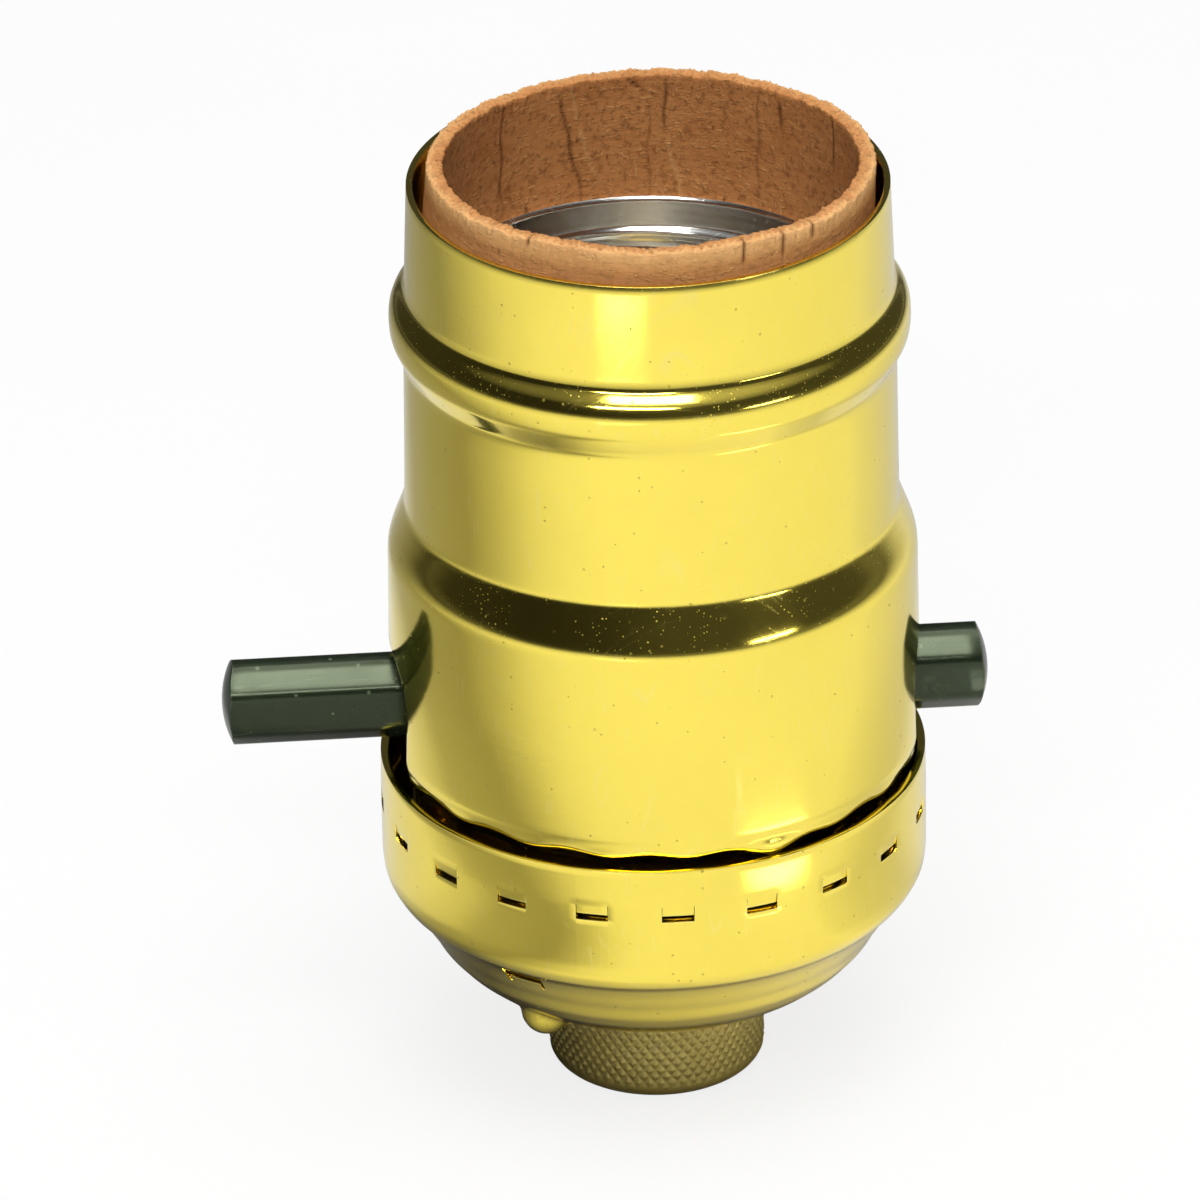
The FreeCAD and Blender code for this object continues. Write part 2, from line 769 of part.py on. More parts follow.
def assembly_screw_holes():
    """Stepped holes through the base and blind holes in the cover."""
    holes = []
    for x, y in assembly_screw_places():
        holes.append(cylinder(assembly_screw_radius + screw_clearance, block_z - 1,
                              cover_top_z - assembly_screw_tip_below_top + 0.2, x, y))
        holes.append(cylinder(assembly_head_radius + screw_clearance, block_z - 1,
                              block_z + 0.3 + assembly_head_height, x, y))
    return holes


def switch_base():
    low_radius = cap_inner_radius(block_z) - 0.3
    flange = turned_polygon([(0, block_z), (low_radius, block_z),
                             (flange_radius, cone_top_z + 0.5 * corner_rise),
                             (flange_radius, flange_top_z), (0, flange_top_z)])
    body = turned_polygon([(0, flange_top_z - 0.5), (block_radius, flange_top_z - 0.5),
                           (block_radius, split_z), (0, split_z)])
    block = flange.fuse(body.cut(block_flats(flange_top_z, split_z + 1)))
    pin_hole = rod(pin_radius + screw_clearance, Vector(0, -terminal_flat - 1, pivot_z),
                   Vector(0, pivot_pin_end() + 0.2, pivot_z))
    cuts = [arm_chamber(), hot_leg_slot(), pin_hole, centre_strip_slot()]
    cuts += flange_notches() + assembly_screw_holes() + terminal_screw_holes()
    return block.cut(cuts).removeSplitter()


def terminal_screw_holes():
    deep = terminal_flat + strip_thickness - terminal_screw_length - 0.3
    radius = terminal_screw_radius + screw_clearance
    return [rod(radius, terminal_point(side * deep), terminal_point(side * beyond)) for side in (-1, 1)]


def rivet_places():
    return [(0, -rivet_offset), (0, rivet_offset)]


def shell_rivets():
    """Tubular rivets through the screw shell's floor and the cover."""
    rivets = []
    head_z = cover_top_z + screw_shell_sheet
    foot_z = split_z + 0.1
    for x, y in rivet_places():
        shank = cylinder(rivet_radius, foot_z, head_z, x, y)
        head = cylinder(rivet_head_radius, head_z, head_z + rivet_head_height, x, y)
        foot = cylinder(rivet_foot_radius, foot_z, foot_z + rivet_foot_height, x, y)
        rim = [edge for edge in head.Edges if edge.Closed and edge.BoundBox.ZMin > head_z + 0.1]
        head = head.makeChamfer(0.5 * rivet_head_height, rim)
        rivets.append(shank.fuse([head, foot]).removeSplitter())
    return Part.makeCompound(rivets)


def rivet_holes():
    holes = []
    for x, y in rivet_places():
        holes.append(cylinder(rivet_radius + screw_clearance, split_z - 1, cover_top_z + 1, x, y))
        holes.append(cylinder(rivet_foot_radius + screw_clearance, split_z - 1,
                              split_z + 0.1 + rivet_foot_height, x, y))
    return holes


def bar_channel():
    return box((-beyond, beyond), (-channel_half_depth, channel_half_depth), (split_z - 1, channel_top_z))


def strap_recess():
    """The seat of the neutral strap on the cover's top."""
    half = neutral_half_width + strip_clearance
    return box((-half, half), (terminal_flat - neutral_reach - neutral_reach_clearance, beyond),
               (cover_top_z - strip_thickness - strip_clearance, cover_top_z + 1))


def switch_cover():
    body = turned_polygon([(0, split_z), (block_radius, split_z),
                           (block_radius, cover_top_z - moulding_chamfer),
                           (block_radius - moulding_chamfer, cover_top_z), (0, cover_top_z)])
    body = body.cut(block_flats(split_z - 1, cover_top_z + 1))
    boss = cylinder(cover_boss_radius, cover_top_z - 0.5, cover_top_z + cover_boss_height)
    body = body.fuse(boss)
    cuts = [bar_channel(), detent_pocket(), centre_strip_slot(), strap_recess()]
    return body.cut(cuts + rivet_holes() + assembly_screw_holes()).removeSplitter()


def screw_shell_profile():
    """The screw shell's outside from its collar down: the rolled thread's turns, drawn as rings."""
    crest = thread_major_radius + screw_shell_sheet
    root = thread_minor_radius + screw_shell_sheet
    collar_z = screw_shell_top_z - thread_collar
    foot_z = cover_top_z + thread_foot
    turns = int((collar_z - foot_z) / thread_pitch)
    path = [at(crest, screw_shell_top_z), at(crest, collar_z)]
    for turn in range(turns):
        crest_z = collar_z - turn * thread_pitch
        path.append(at(root, crest_z - thread_pitch * 0.4))
        path.append(at(root, crest_z - thread_pitch * 0.5))
        path.append(at(crest, crest_z - thread_pitch * 0.9))
        path.append(at(crest, crest_z - thread_pitch))
    neck = thread_neck_radius + screw_shell_sheet
    path.append(at(neck, collar_z - turns * thread_pitch - thread_pitch * 0.4))
    path.append(at(neck, cover_top_z))
    path.append(at(screw_shell_floor_hole, cover_top_z))
    return [line(start, end) for start, end in zip(path, path[1:])]


def screw_shell():
    cup = turned_sheet(screw_shell_profile(), screw_shell_sheet)
    holes = [cylinder(rivet_radius + screw_clearance, cover_top_z - 1, cover_top_z + 1, x, y)
             for x, y in rivet_places()]
    return cup.cut(holes)


PIECES = {
    "cap": cap,
    "threaded_hub": threaded_hub,
    "set_screw": set_screw,
    "cap_insulator": cap_insulator,
    "switch_base": switch_base,
    "switch_cover": switch_cover,
    "assembly_screws": assembly_screws,
    "screw_shell": screw_shell,
    "shell_rivets": shell_rivets,
    "centre_contact": centre_contact,
    "hot_terminal": hot_terminal,
    "neutral_terminal": neutral_terminal,
    "brass_terminal_screw": brass_terminal_screw,
    "silver_terminal_screw": silver_terminal_screw,
    "fixed_contact": fixed_contact,
    "pivot_pin": pivot_pin,
    "detent_spring": detent_spring,
    "contact_arm": contact_arm,
    "moving_contact": moving_contact,
    "push_bar": push_bar,
    "drive_pin": drive_pin,
    "outer_shell": outer_shell,
    "insulating_liner": insulating_liner,
}

os.makedirs("parts", exist_ok=True)
for name, make in PIECES.items():
    shape = make()
    solids = len(shape.Solids)
    low, high = shape.BoundBox.ZMin, shape.BoundBox.ZMax
    print(f"{name}: valid {shape.isValid()}, solids {solids}, volume {shape.Volume:.1f}, z {low:.2f} to {high:.2f}")
    shape.exportStep(f"parts/{name}.step")
print(f"half swing {half_swing:.3f} degrees, pivot z {pivot_z:.3f}, drive pin z {drive_pin_z:.3f}, lever {lever:.3f}")
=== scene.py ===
"""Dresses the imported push-through lamp holder: brass, board liner, screw shell and push bar."""
import logging
import math
from dataclasses import dataclass
from enum import Enum
from typing import Optional, Sequence

import bmesh
import bpy
import numpy as np
from mathutils import Matrix, Vector


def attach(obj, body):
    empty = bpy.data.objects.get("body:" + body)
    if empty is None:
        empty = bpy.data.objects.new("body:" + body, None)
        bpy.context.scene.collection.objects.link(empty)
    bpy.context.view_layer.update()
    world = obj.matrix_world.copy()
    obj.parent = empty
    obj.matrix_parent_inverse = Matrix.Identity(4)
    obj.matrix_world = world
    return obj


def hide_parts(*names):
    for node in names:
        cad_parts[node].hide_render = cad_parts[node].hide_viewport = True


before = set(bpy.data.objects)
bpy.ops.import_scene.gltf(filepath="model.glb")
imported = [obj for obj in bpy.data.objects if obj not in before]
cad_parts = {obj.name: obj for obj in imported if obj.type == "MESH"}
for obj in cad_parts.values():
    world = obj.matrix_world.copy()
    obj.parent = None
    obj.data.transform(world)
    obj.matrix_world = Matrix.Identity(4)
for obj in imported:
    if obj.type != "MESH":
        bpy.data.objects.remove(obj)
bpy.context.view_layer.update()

MM = 0.001
LOG = logging.getLogger("lamp_holder")
Colour = tuple[float, float, float]
Pair = tuple[float, float]
Pairs = tuple[Pair, ...]


class Body(Enum):
    """The moving bodies that a piece can ride on."""

    CAP = "cap"
    SHELL = "shell"
    BAR = "bar"


# Surfaces


@dataclass
class Patch:
    """A grid of points in millimetres, rows by columns, and the cells that it shows."""

    points: np.ndarray
    closed: bool = False
    hidden: Optional[np.ndarray] = None

    def quads(self) -> np.ndarray:
        """Corner numbers of the shown cells.

        The cell (i, j) joins points (i, j), (i+1, j), (i+1, j+1) and (i, j+1), so a patch whose rows
        go down and whose columns go anticlockwise faces outwards.

        Returns:
            An array of four corner numbers a cell.
        """
        rows, columns = self.points.shape[:2]
        i = np.arange(rows - 1)[:, None] * columns
        j = np.arange(columns if self.closed else columns - 1)[None, :]
        after = (j + 1) % columns
        below = i + columns
        cells = np.stack(np.broadcast_arrays(i + j, below + j, below + after, i + after), axis=-1)
        if self.hidden is not None:
            cells = cells[~self.hidden]
        return cells.reshape(-1, 4)


def lengths(line: np.ndarray) -> np.ndarray:
    """The length of a line up to each of its points."""
    return np.concatenate([[0.0], np.cumsum(np.hypot(*np.diff(line, axis=0).T))])


def sampled(line: np.ndarray, places: np.ndarray) -> np.ndarray:
    """Points of a line at some lengths along it."""
    return np.stack([np.interp(places, lengths(line), line[:, k]) for k in (0, 1)], axis=1)


def softened(corners: Sequence[Pair], spacing: float, radius: float) -> np.ndarray:
    """A profile with its corners rounded.

    The line through the corners is sampled evenly by its length, and each sample becomes the average
    of its neighbours under a bell curve. The ends stay where they are.

    Args:
        corners: Points of the profile in order.
        spacing: Distance between two samples.
        radius: Width of the bell curve.

    Returns:
        The samples, one a row.
    """
    points = np.asarray(corners, float)
    total = lengths(points)[-1]
    count = max(int(total / spacing), 2) + 1
    line = sampled(points, np.linspace(0.0, total, count))
    reach = max(min(int(3 * radius / spacing), count - 2), 1)
    bell = np.exp(-0.5 * (np.arange(-reach, reach + 1) * spacing / radius) ** 2)
    before = 2 * line[0] - line[reach:0:-1]
    behind = 2 * line[-1] - line[-2:-reach - 2:-1]
    padded = np.concatenate([before, line, behind])
    return np.stack([np.convolve(padded[:, k], bell / bell.sum(), "valid") for k in (0, 1)], axis=1)


def wobble(x: np.ndarray, y: np.ndarray, seed: int, waves: int = 5) -> np.ndarray:
    """A smooth random surface between about -1 and 1: the mean of sine waves of two parameters.

    Args:
        x: First parameter, in radians for a closed direction.
        y: Second parameter.
        seed: Seed of the waves' counts and phases.
        waves: How many waves are added.

    Returns:
        The heights at the points, of the shape that x and y have together.
    """
    draw = np.random.default_rng(seed)
    total = np.zeros(np.broadcast(x, y).shape)
    for _ in range(waves):
        turns = draw.integers(1, 9)
        total = total + np.sin(turns * x + draw.uniform(0.3, 1.6) * y + draw.uniform(0, 2 * math.pi))
    return total / math.sqrt(waves)


def unit(values: np.ndarray) -> np.ndarray:
    """Values held between 0 and 1."""
    return np.clip(values, 0.0, 1.0)


def full_turn(columns: int) -> np.ndarray:
    """Angles of a closed ring's columns, as one row."""
    return np.linspace(0.0, 2 * math.pi, columns, endpoint=False)[None, :]


def ring_points(radius: np.ndarray, angle: np.ndarray, height: np.ndarray) -> np.ndarray:
    """Points at a radius and angle about Z, and a height."""
    radius, angle, height = np.broadcast_arrays(radius, angle, height)
    return np.stack([radius * np.cos(angle), radius * np.sin(angle), height], axis=-1)


def steps(*runs: tuple[float, float, int]) -> np.ndarray:
    """Values that run through several spans, each with its own number of steps."""
    parts = [np.linspace(low, high, count + 1)[:-1] for low, high, count in runs]
    return np.concatenate(parts + [[runs[-1][1]]])


# Pieces


def linked(name: str, data: bpy.types.ID) -> bpy.types.Object:
    """A new object of some data, linked to the scene."""
    made = bpy.data.objects.new(name, data)
    bpy.context.scene.collection.objects.link(made)
    return made


def make_object(name: str, patches: Sequence[Patch], weld: float = 0.002) -> bpy.types.Object:
    """An object whose mesh joins the patches.

    Args:
        name: Name of the object.
        patches: Grids to join, in millimetres.
        weld: Distance under which points become one, in millimetres.

    Returns:
        The new object, linked and smooth shaded.
    """
    corners, faces, base = [], [], 0
    for patch in patches:
        corners.append(patch.points.reshape(-1, 3))
        faces.append(patch.quads() + base)
        base += len(corners[-1])
    points = np.concatenate(corners) * MM
    quads = np.concatenate(faces)
    mesh = bpy.data.meshes.new(name)
    mesh.vertices.add(len(points))
    mesh.vertices.foreach_set("co", points.astype(np.float32).ravel())
    mesh.loops.add(4 * len(quads))
    mesh.loops.foreach_set("vertex_index", quads.astype(np.int32).ravel())
    mesh.polygons.add(len(quads))
    mesh.polygons.foreach_set("loop_start", np.arange(0, 4 * len(quads), 4, dtype=np.int32))
    mesh.update(calc_edges=True)
    tidy = bmesh.new()
    tidy.from_mesh(mesh)
    bmesh.ops.remove_doubles(tidy, verts=tidy.verts, dist=weld * MM)
    bmesh.ops.delete(tidy, geom=[v for v in tidy.verts if not v.link_faces], context="VERTS")
    tidy.to_mesh(mesh)
    tidy.free()
    mesh.validate()
    mesh.polygons.foreach_set("use_smooth", np.ones(len(mesh.polygons), bool))
    return linked(name, mesh)


def give_wall(piece: bpy.types.Object, thickness: float, rounding: float, side: float = -1.0) -> None:
    """Thickens an open sheet and rounds its cut edges.

    Args:
        piece: The sheet.
        thickness: Its thickness in millimetres.
        rounding: Width of the rounding in millimetres.
        side: -1 to grow against the faces' normals, 1 to grow along them.
    """
    solid = piece.modifiers.new("wall", "SOLIDIFY")
    solid.thickness = thickness * MM
    solid.offset = side
    solid.use_even_offset = False
    round_edges(piece, rounding)


def round_edges(piece: bpy.types.Object, width: float, angle: float = 50.0) -> None:
    """Rounds the edges of a piece that are sharper than an angle.

    Args:
        piece: The object to round.
        width: Width of the rounding in millimetres.
        angle: Smallest angle between two faces that is rounded, in degrees.
    """
    bevel = piece.modifiers.new("edges", "BEVEL")
    bevel.width = width * MM
    bevel.segments = 2
    bevel.limit_method = "ANGLE"
    bevel.angle_limit = math.radians(angle)
    bevel.harden_normals = False


def cut_away(piece: bpy.types.Object, cutters: Sequence[bpy.types.Object]) -> None:
    """Cuts the cutters out of a piece for good, and deletes them."""
    for cutter in cutters:
        cut = piece.modifiers.new("cut", "BOOLEAN")
        cut.operation = "DIFFERENCE"
        cut.solver = "EXACT"
        cut.object = cutter
        bpy.context.view_layer.update()
        graph = bpy.context.evaluated_depsgraph_get()
        mesh = bpy.data.meshes.new_from_object(piece.evaluated_get(graph))
        piece.modifiers.clear()
        piece.data = mesh
        bpy.data.objects.remove(cutter)


def box_cutter(low: Sequence[float], high: Sequence[float]) -> bpy.types.Object:
    """A box between two corners in millimetres, to cut with."""
    mesh = bpy.data.meshes.new("cutter")
    shape = bmesh.new()
    bmesh.ops.create_cube(shape, size=1.0)
    size = [(b - a) * MM for a, b in zip(low, high)]
    middle = [(a + b) / 2 * MM for a, b in zip(low, high)]
    placed = Matrix.LocRotScale(Vector(middle), None, Vector(size))
    bmesh.ops.transform(shape, verts=shape.verts, matrix=placed)
    shape.to_mesh(mesh)
    shape.free()
    return linked("cutter", mesh)


def dress(piece: bpy.types.Object, body: Body, node: str, material: bpy.types.Material) -> None:
    """Gives a piece its material and its body, and hides the imported node that it stands for."""
    piece.data.materials.clear()
    piece.data.materials.append(material)
    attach(piece, body.value)
    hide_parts(node)
    LOG.info("%s: %d faces, rides on %s", piece.name, len(piece.data.polygons), body.value)


# Node graphs

Socket = bpy.types.NodeSocket


class Graph:
    """A node tree being drawn, with short names for the nodes that recur."""

    def __init__(self, tree: bpy.types.NodeTree) -> None:
        """Keeps the tree."""
        self.tree = tree

    def node(self, kind: str, **settings: object) -> bpy.types.Node:
        """A new node with some of its settings made."""
        made = self.tree.nodes.new(kind)
        for name, value in settings.items():
            setattr(made, name, value)
        return made

    def feed(self, target: Socket, value: object) -> None:
        """Links a socket to the target, or writes a plain value on it."""
        if isinstance(value, bpy.types.NodeSocket):
            self.tree.links.new(value, target)
        elif isinstance(value, tuple) and target.type == "RGBA":
            target.default_value = (*value, 1.0)
        else:
            target.default_value = value

    def calc(self, operation: str, *values: object) -> Socket:
        """A Math node of an operation on one to three values."""
        made = self.node("ShaderNodeMath", operation=operation)
        for target, value in zip(made.inputs, values):
            self.feed(target, value)
        return made.outputs[0]

    def times(self, first: object, second: object) -> Socket:
        """The product of two values."""
        return self.calc("MULTIPLY", first, second)

    def plus(self, first: object, second: object) -> Socket:
        """The sum of two values."""
        return self.calc("ADD", first, second)

    def off(self, value: object, middle: object) -> Socket:
        """How far a value is from a middle, either way."""
        return self.calc("ABSOLUTE", self.calc("SUBTRACT", value, middle))

    def parts(self, vector: object) -> list[Socket]:
        """The X, Y and Z of a vector."""
        made = self.node("ShaderNodeSeparateXYZ")
        self.feed(made.inputs[0], vector)
        return list(made.outputs)

    def ramp(self, value: Socket, stops: Sequence[Pair]) -> Socket:
        """Greys that a value from 0 to 1 runs through, given as places with their levels."""
        made = self.node("ShaderNodeValToRGB")
        self.feed(made.inputs["Fac"], value)
        elements = made.color_ramp.elements
        while len(elements) < len(stops):
            elements.new(0.5)
        for element, (position, level) in zip(elements, stops):
            element.position = position
            element.color = (level, level, level, 1.0)
        return made.outputs["Color"]

    def bearing(self, x: Socket, y: Socket) -> Socket:
        """The angle about Z of a direction, from -Y towards +X, in radians."""
        return self.calc("ARCTAN2", x, self.times(y, -1.0))

    def ramp_round(self, angle: Socket, stops: Sequence[Pair]) -> Socket:
        """Greys by bearing, given as degrees from -180 to 180 with their levels."""
        shares = [(0.5 + degrees / 360.0, level) for degrees, level in stops]
        return self.ramp(self.spread(angle, -math.pi, math.pi), shares)

    def spread(self, value: object, low: object, high: object, start: float = 0.0,
               end: float = 1.0) -> Socket:
        """A value carried from one range to another and held inside it."""
        made = self.node("ShaderNodeMapRange", clamp=True)
        names = ("Value", "From Min", "From Max", "To Min", "To Max")
        for name, part in zip(names, (value, low, high, start, end)):
            self.feed(made.inputs[name], part)
        return made.outputs["Result"]

    def blend(self, share: object, first: object, second: object, mode: str = "MIX") -> Socket:
        """A mix of two colours."""
        made = self.node("ShaderNodeMix", data_type="RGBA", blend_type=mode)
        colours = [s for s in made.inputs if s.type == "RGBA"]
        self.feed(made.inputs[0], share)
        self.feed(colours[0], first)
        self.feed(colours[1], second)
        return next(s for s in made.outputs if s.type == "RGBA")

    def layers(self, base: object, *coats: tuple[object, object]) -> Socket:
        """A base colour with others laid over it in turn, each by its share."""
        for share, colour in coats:
            base = self.blend(share, base, colour)
        return base

    def place(self) -> Socket:
        """Object coordinates."""
        return self.node("ShaderNodeTexCoord").outputs["Object"]

    def mapped(self, vector: object, scale: Sequence[float], turn: Sequence[float] = (0, 0, 0)) -> Socket:
        """Coordinates turned, then stretched."""
        made = self.node("ShaderNodeMapping")
        self.feed(made.inputs["Vector"], vector)
        made.inputs["Rotation"].default_value = turn
        made.inputs["Scale"].default_value = scale
        return made.outputs["Vector"]

    def noise(self, vector: object, scale: object, detail: float = 3.0,
              roughness: float = 0.55) -> Socket:
        """A noise value."""
        made = self.node("ShaderNodeTexNoise")
        self.feed(made.inputs["Vector"], vector)
        self.feed(made.inputs["Scale"], scale)
        made.inputs["Detail"].default_value = detail
        made.inputs["Roughness"].default_value = roughness
        return made.outputs["Fac"]

    def bump(self, height: object, depth: float, strength: float = 1.0,
             normal: Optional[Socket] = None) -> Socket:
        """A normal bent by a height, where depth is the height of 1 in millimetres."""
        made = self.node("ShaderNodeBump")
        made.inputs["Distance"].default_value = depth * MM
        made.inputs["Strength"].default_value = strength
        self.feed(made.inputs["Height"], height)
        if normal is not None:
            self.feed(made.inputs["Normal"], normal)
        return made.outputs["Normal"]

    def effect(self, group: bpy.types.NodeTree, **values: object) -> Socket:
        """A shared effect placed in this tree.

        Args:
            group: The effect's node group.
            values: Its inputs by name.

        Returns:
            The effect's first output.
        """
        made = self.node("ShaderNodeGroup", node_tree=group)
        for name, value in values.items():
            self.feed(made.inputs[name], value)
        return made.outputs[0]


def new_group(name: str, **inputs: float) -> tuple[Graph, dict[str, Socket], Socket]:
    """An empty effect group with a vector input and some number inputs.

    Args:
        name: Name of the group.
        inputs: Default of each number input, by name.

    Returns:
        The graph, the inputs inside the group by name, and the socket inside that takes the mask.
    """
    tree = bpy.data.node_groups.new(name, "ShaderNodeTree")
    tree.interface.new_socket("Mask", in_out="OUTPUT", socket_type="NodeSocketFloat")
    tree.interface.new_socket("Vector", in_out="INPUT", socket_type="NodeSocketVector")
    for label, default in inputs.items():
        socket = tree.interface.new_socket(label, in_out="INPUT", socket_type="NodeSocketFloat")
        socket.default_value = default
    graph = Graph(tree)
    entry = graph.node("NodeGroupInput").outputs
    mask = graph.node("NodeGroupOutput").inputs["Mask"]
    return graph, {label: entry[label] for label in ("Vector", *inputs)}, mask


class Effects:
    """The effects that several materials share, each built once as a node group."""

    def __init__(self) -> None:
        """Builds the groups."""
        self.scratches = self._scratches()
        self.specks = self._specks()
        self.wear = self._edge_wear()
        self.mottle = self._mottle()

    @staticmethod
    def _scratches() -> bpy.types.NodeTree:
        """Fine hairlines in three directions: thin bands where a stretched noise passes its middle."""
        graph, entry, mask = new_group("fine_scratches", Scale=1.0, Amount=0.5)
        total: object = 0.0
        for turn in ((0.3, 0.5, 0.2), (1.3, -0.4, 0.9), (-0.7, 1.1, 2.1)):
            lines = graph.mapped(entry["Vector"], (60.0, 2400.0, 90.0), turn)
            near = graph.off(graph.noise(lines, entry["Scale"], 1.0), 0.5)
            patch = graph.noise(graph.mapped(entry["Vector"], (1.0, 1.0, 1.0), turn), 420.0, 2.0)
            line = graph.times(graph.spread(near, 0.0, 0.018, 1.0, 0.0), graph.spread(patch, 0.52, 0.66))
            total = graph.calc("MAXIMUM", total, line)
        graph.feed(mask, graph.times(total, entry["Amount"]))
        return graph.tree

    @staticmethod
    def _specks() -> bpy.types.NodeTree:
        """Small round specks in some of the cells of a scattered grid."""
        graph, entry, mask = new_group("specks", Scale=900.0, Share=0.2, Size=0.25)
        cells = graph.node("ShaderNodeTexVoronoi")
        graph.feed(cells.inputs["Vector"], entry["Vector"])
        graph.feed(cells.inputs["Scale"], entry["Scale"])
        pick = graph.node("ShaderNodeSeparateColor")
        graph.feed(pick.inputs[0], cells.outputs["Color"])
        chosen = graph.calc("LESS_THAN", pick.outputs[0], entry["Share"])
        radius = graph.times(entry["Size"], graph.plus(0.4, pick.outputs[1]))
        inside = graph.spread(graph.calc("DIVIDE", cells.outputs["Distance"], radius), 0.6, 1.0, 1.0, 0.0)
        graph.feed(mask, graph.times(chosen, inside))
        return graph.tree

    @staticmethod
    def _edge_wear() -> bpy.types.NodeTree:
        """Rubbed edges: where the rounded normal leaves the true one, broken up by noise."""
        graph, entry, mask = new_group("edge_wear", Radius=0.0002, Amount=0.7)
        rounded = graph.node("ShaderNodeBevel", samples=4)
        graph.feed(rounded.inputs["Radius"], entry["Radius"])
        plain = graph.node("ShaderNodeNewGeometry")
        turn = graph.node("ShaderNodeVectorMath", operation="DOT_PRODUCT")
        graph.feed(turn.inputs[0], rounded.outputs["Normal"])
        graph.feed(turn.inputs[1], plain.outputs["Normal"])
        edge = graph.spread(turn.outputs["Value"], 0.97, 0.8)
        broken = graph.spread(graph.noise(entry["Vector"], 1500.0, 4.0), 0.38, 0.6, 0.35, 1.0)
        graph.feed(mask, graph.times(graph.times(edge, broken), entry["Amount"]))
        return graph.tree

    @staticmethod
    def _mottle() -> bpy.types.NodeTree:
        """Broad clouds with finer ones in them."""
        graph, entry, mask = new_group("mottle", Scale=120.0, Contrast=0.2)
        clouds = graph.noise(entry["Vector"], entry["Scale"], 6.0, 0.62)
        low = graph.calc("SUBTRACT", 0.5, entry["Contrast"])
        graph.feed(mask, graph.spread(clouds, low, graph.plus(0.5, entry["Contrast"])))
        return graph.tree


def new_material(name: str) -> tuple[Graph, bpy.types.Node]:
    """An empty material, as its graph and its Principled shader. It is found again by its name."""
    material = bpy.data.materials.new(name)
    material.use_nodes = True
    return Graph(material.node_tree), material.node_tree.nodes["Principled BSDF"]


# Finishes


@dataclass(frozen=True)
class Finish:
    """A surface that a subclass paints."""

    name: str

    def build(self, effects: Effects) -> bpy.types.Material:
        """The finish as a material.

        Args:
            effects: The shared effects.

        Returns:
            The new material.
        """
        graph, shader = new_material(self.name)
        for name, value in self.paint(graph, effects, graph.place()).items():
            graph.feed(shader.inputs[name], value)
        return bpy.data.materials[self.name]

    def paint(self, graph: Graph, effects: Effects, place: Socket) -> dict[str, object]:
        """Draws the finish.

        Args:
            graph: The material's graph.
            effects: The shared effects.
            place: Object coordinates.

        Returns:
            What the shader's inputs take, by their names.
        """
        raise NotImplementedError


@dataclass(frozen=True)
class Brass(Finish):
    """Bright drawn brass under thin lacquer, with fine scratches, pits and stains."""

    bright: Colour = (0.95, 0.77, 0.115)
    stained: Colour = (0.84, 0.66, 0.105)
    pit: Colour = (0.30, 0.22, 0.06)
    scratched: Colour = (1.0, 0.93, 0.55)
    worn: Colour = (1.0, 0.88, 0.32)
    roughness: float = 0.085
    stain_share: float = 0.35
    speck_share: float = 0.05
    scratch: float = 0.35
    dust_share: float = 0.5
    dust_levels: tuple[float, ...] = (0.0543, 0.0391)
    dust_span: Pair = (0.0016, 0.0032)
    coat: float = 0.25
    ripple: float = 0.004

    def paint(self, graph: Graph, effects: Effects, place: Socket) -> dict[str, object]:
        """Draws the brass. The dust lies near some heights, in metres, and thins out over a span."""
        clouds = graph.effect(effects.mottle, Vector=place, Scale=160.0, Contrast=0.22)
        turned = graph.noise(graph.mapped(place, (35.0, 35.0, 2600.0)), 1.0, 2.0)
        hairs = graph.effect(effects.scratches, Vector=place, Scale=1.0, Amount=self.scratch)
        specks = graph.effect(effects.specks, Vector=place, Scale=2600.0, Share=self.speck_share, Size=0.26)
        wear = graph.effect(effects.wear, Vector=place, Radius=0.00022, Amount=0.8)
        dust = graph.effect(effects.specks, Vector=place, Scale=4800.0, Share=self.dust_share, Size=0.26)
        dust = graph.times(dust, graph.spread(graph.noise(place, 300.0, 3.0), 0.42, 0.62))
        height = graph.parts(place)[2]
        in_bands: object = 0.0
        for level in self.dust_levels:
            near = graph.spread(graph.off(height, level), *self.dust_span, 1.0, 0.1)
            in_bands = graph.calc("MAXIMUM", in_bands, near)
        dust = graph.times(graph.times(dust, in_bands), 0.4)
        marks = graph.plus(hairs, specks)
        rough = graph.spread(clouds, 0.0, 1.0, self.roughness, self.roughness * 1.7)
        drawn = graph.plus(graph.times(turned, 0.25), graph.noise(place, 700.0, 3.0))
        return {
            "Base Color": graph.layers(
                self.bright, (graph.times(clouds, self.stain_share), self.stained),
                (graph.times(hairs, 0.35), self.scratched), (graph.times(specks, 0.4), self.pit),
                (wear, self.worn)),
            "Roughness": graph.plus(graph.plus(rough, graph.times(marks, 0.22)), dust),
            "Normal": graph.bump(marks, 0.006, -0.6, graph.bump(drawn, self.ripple)),
            "Metallic": 1.0, "Coat Weight": self.coat, "Coat Roughness": 0.04}


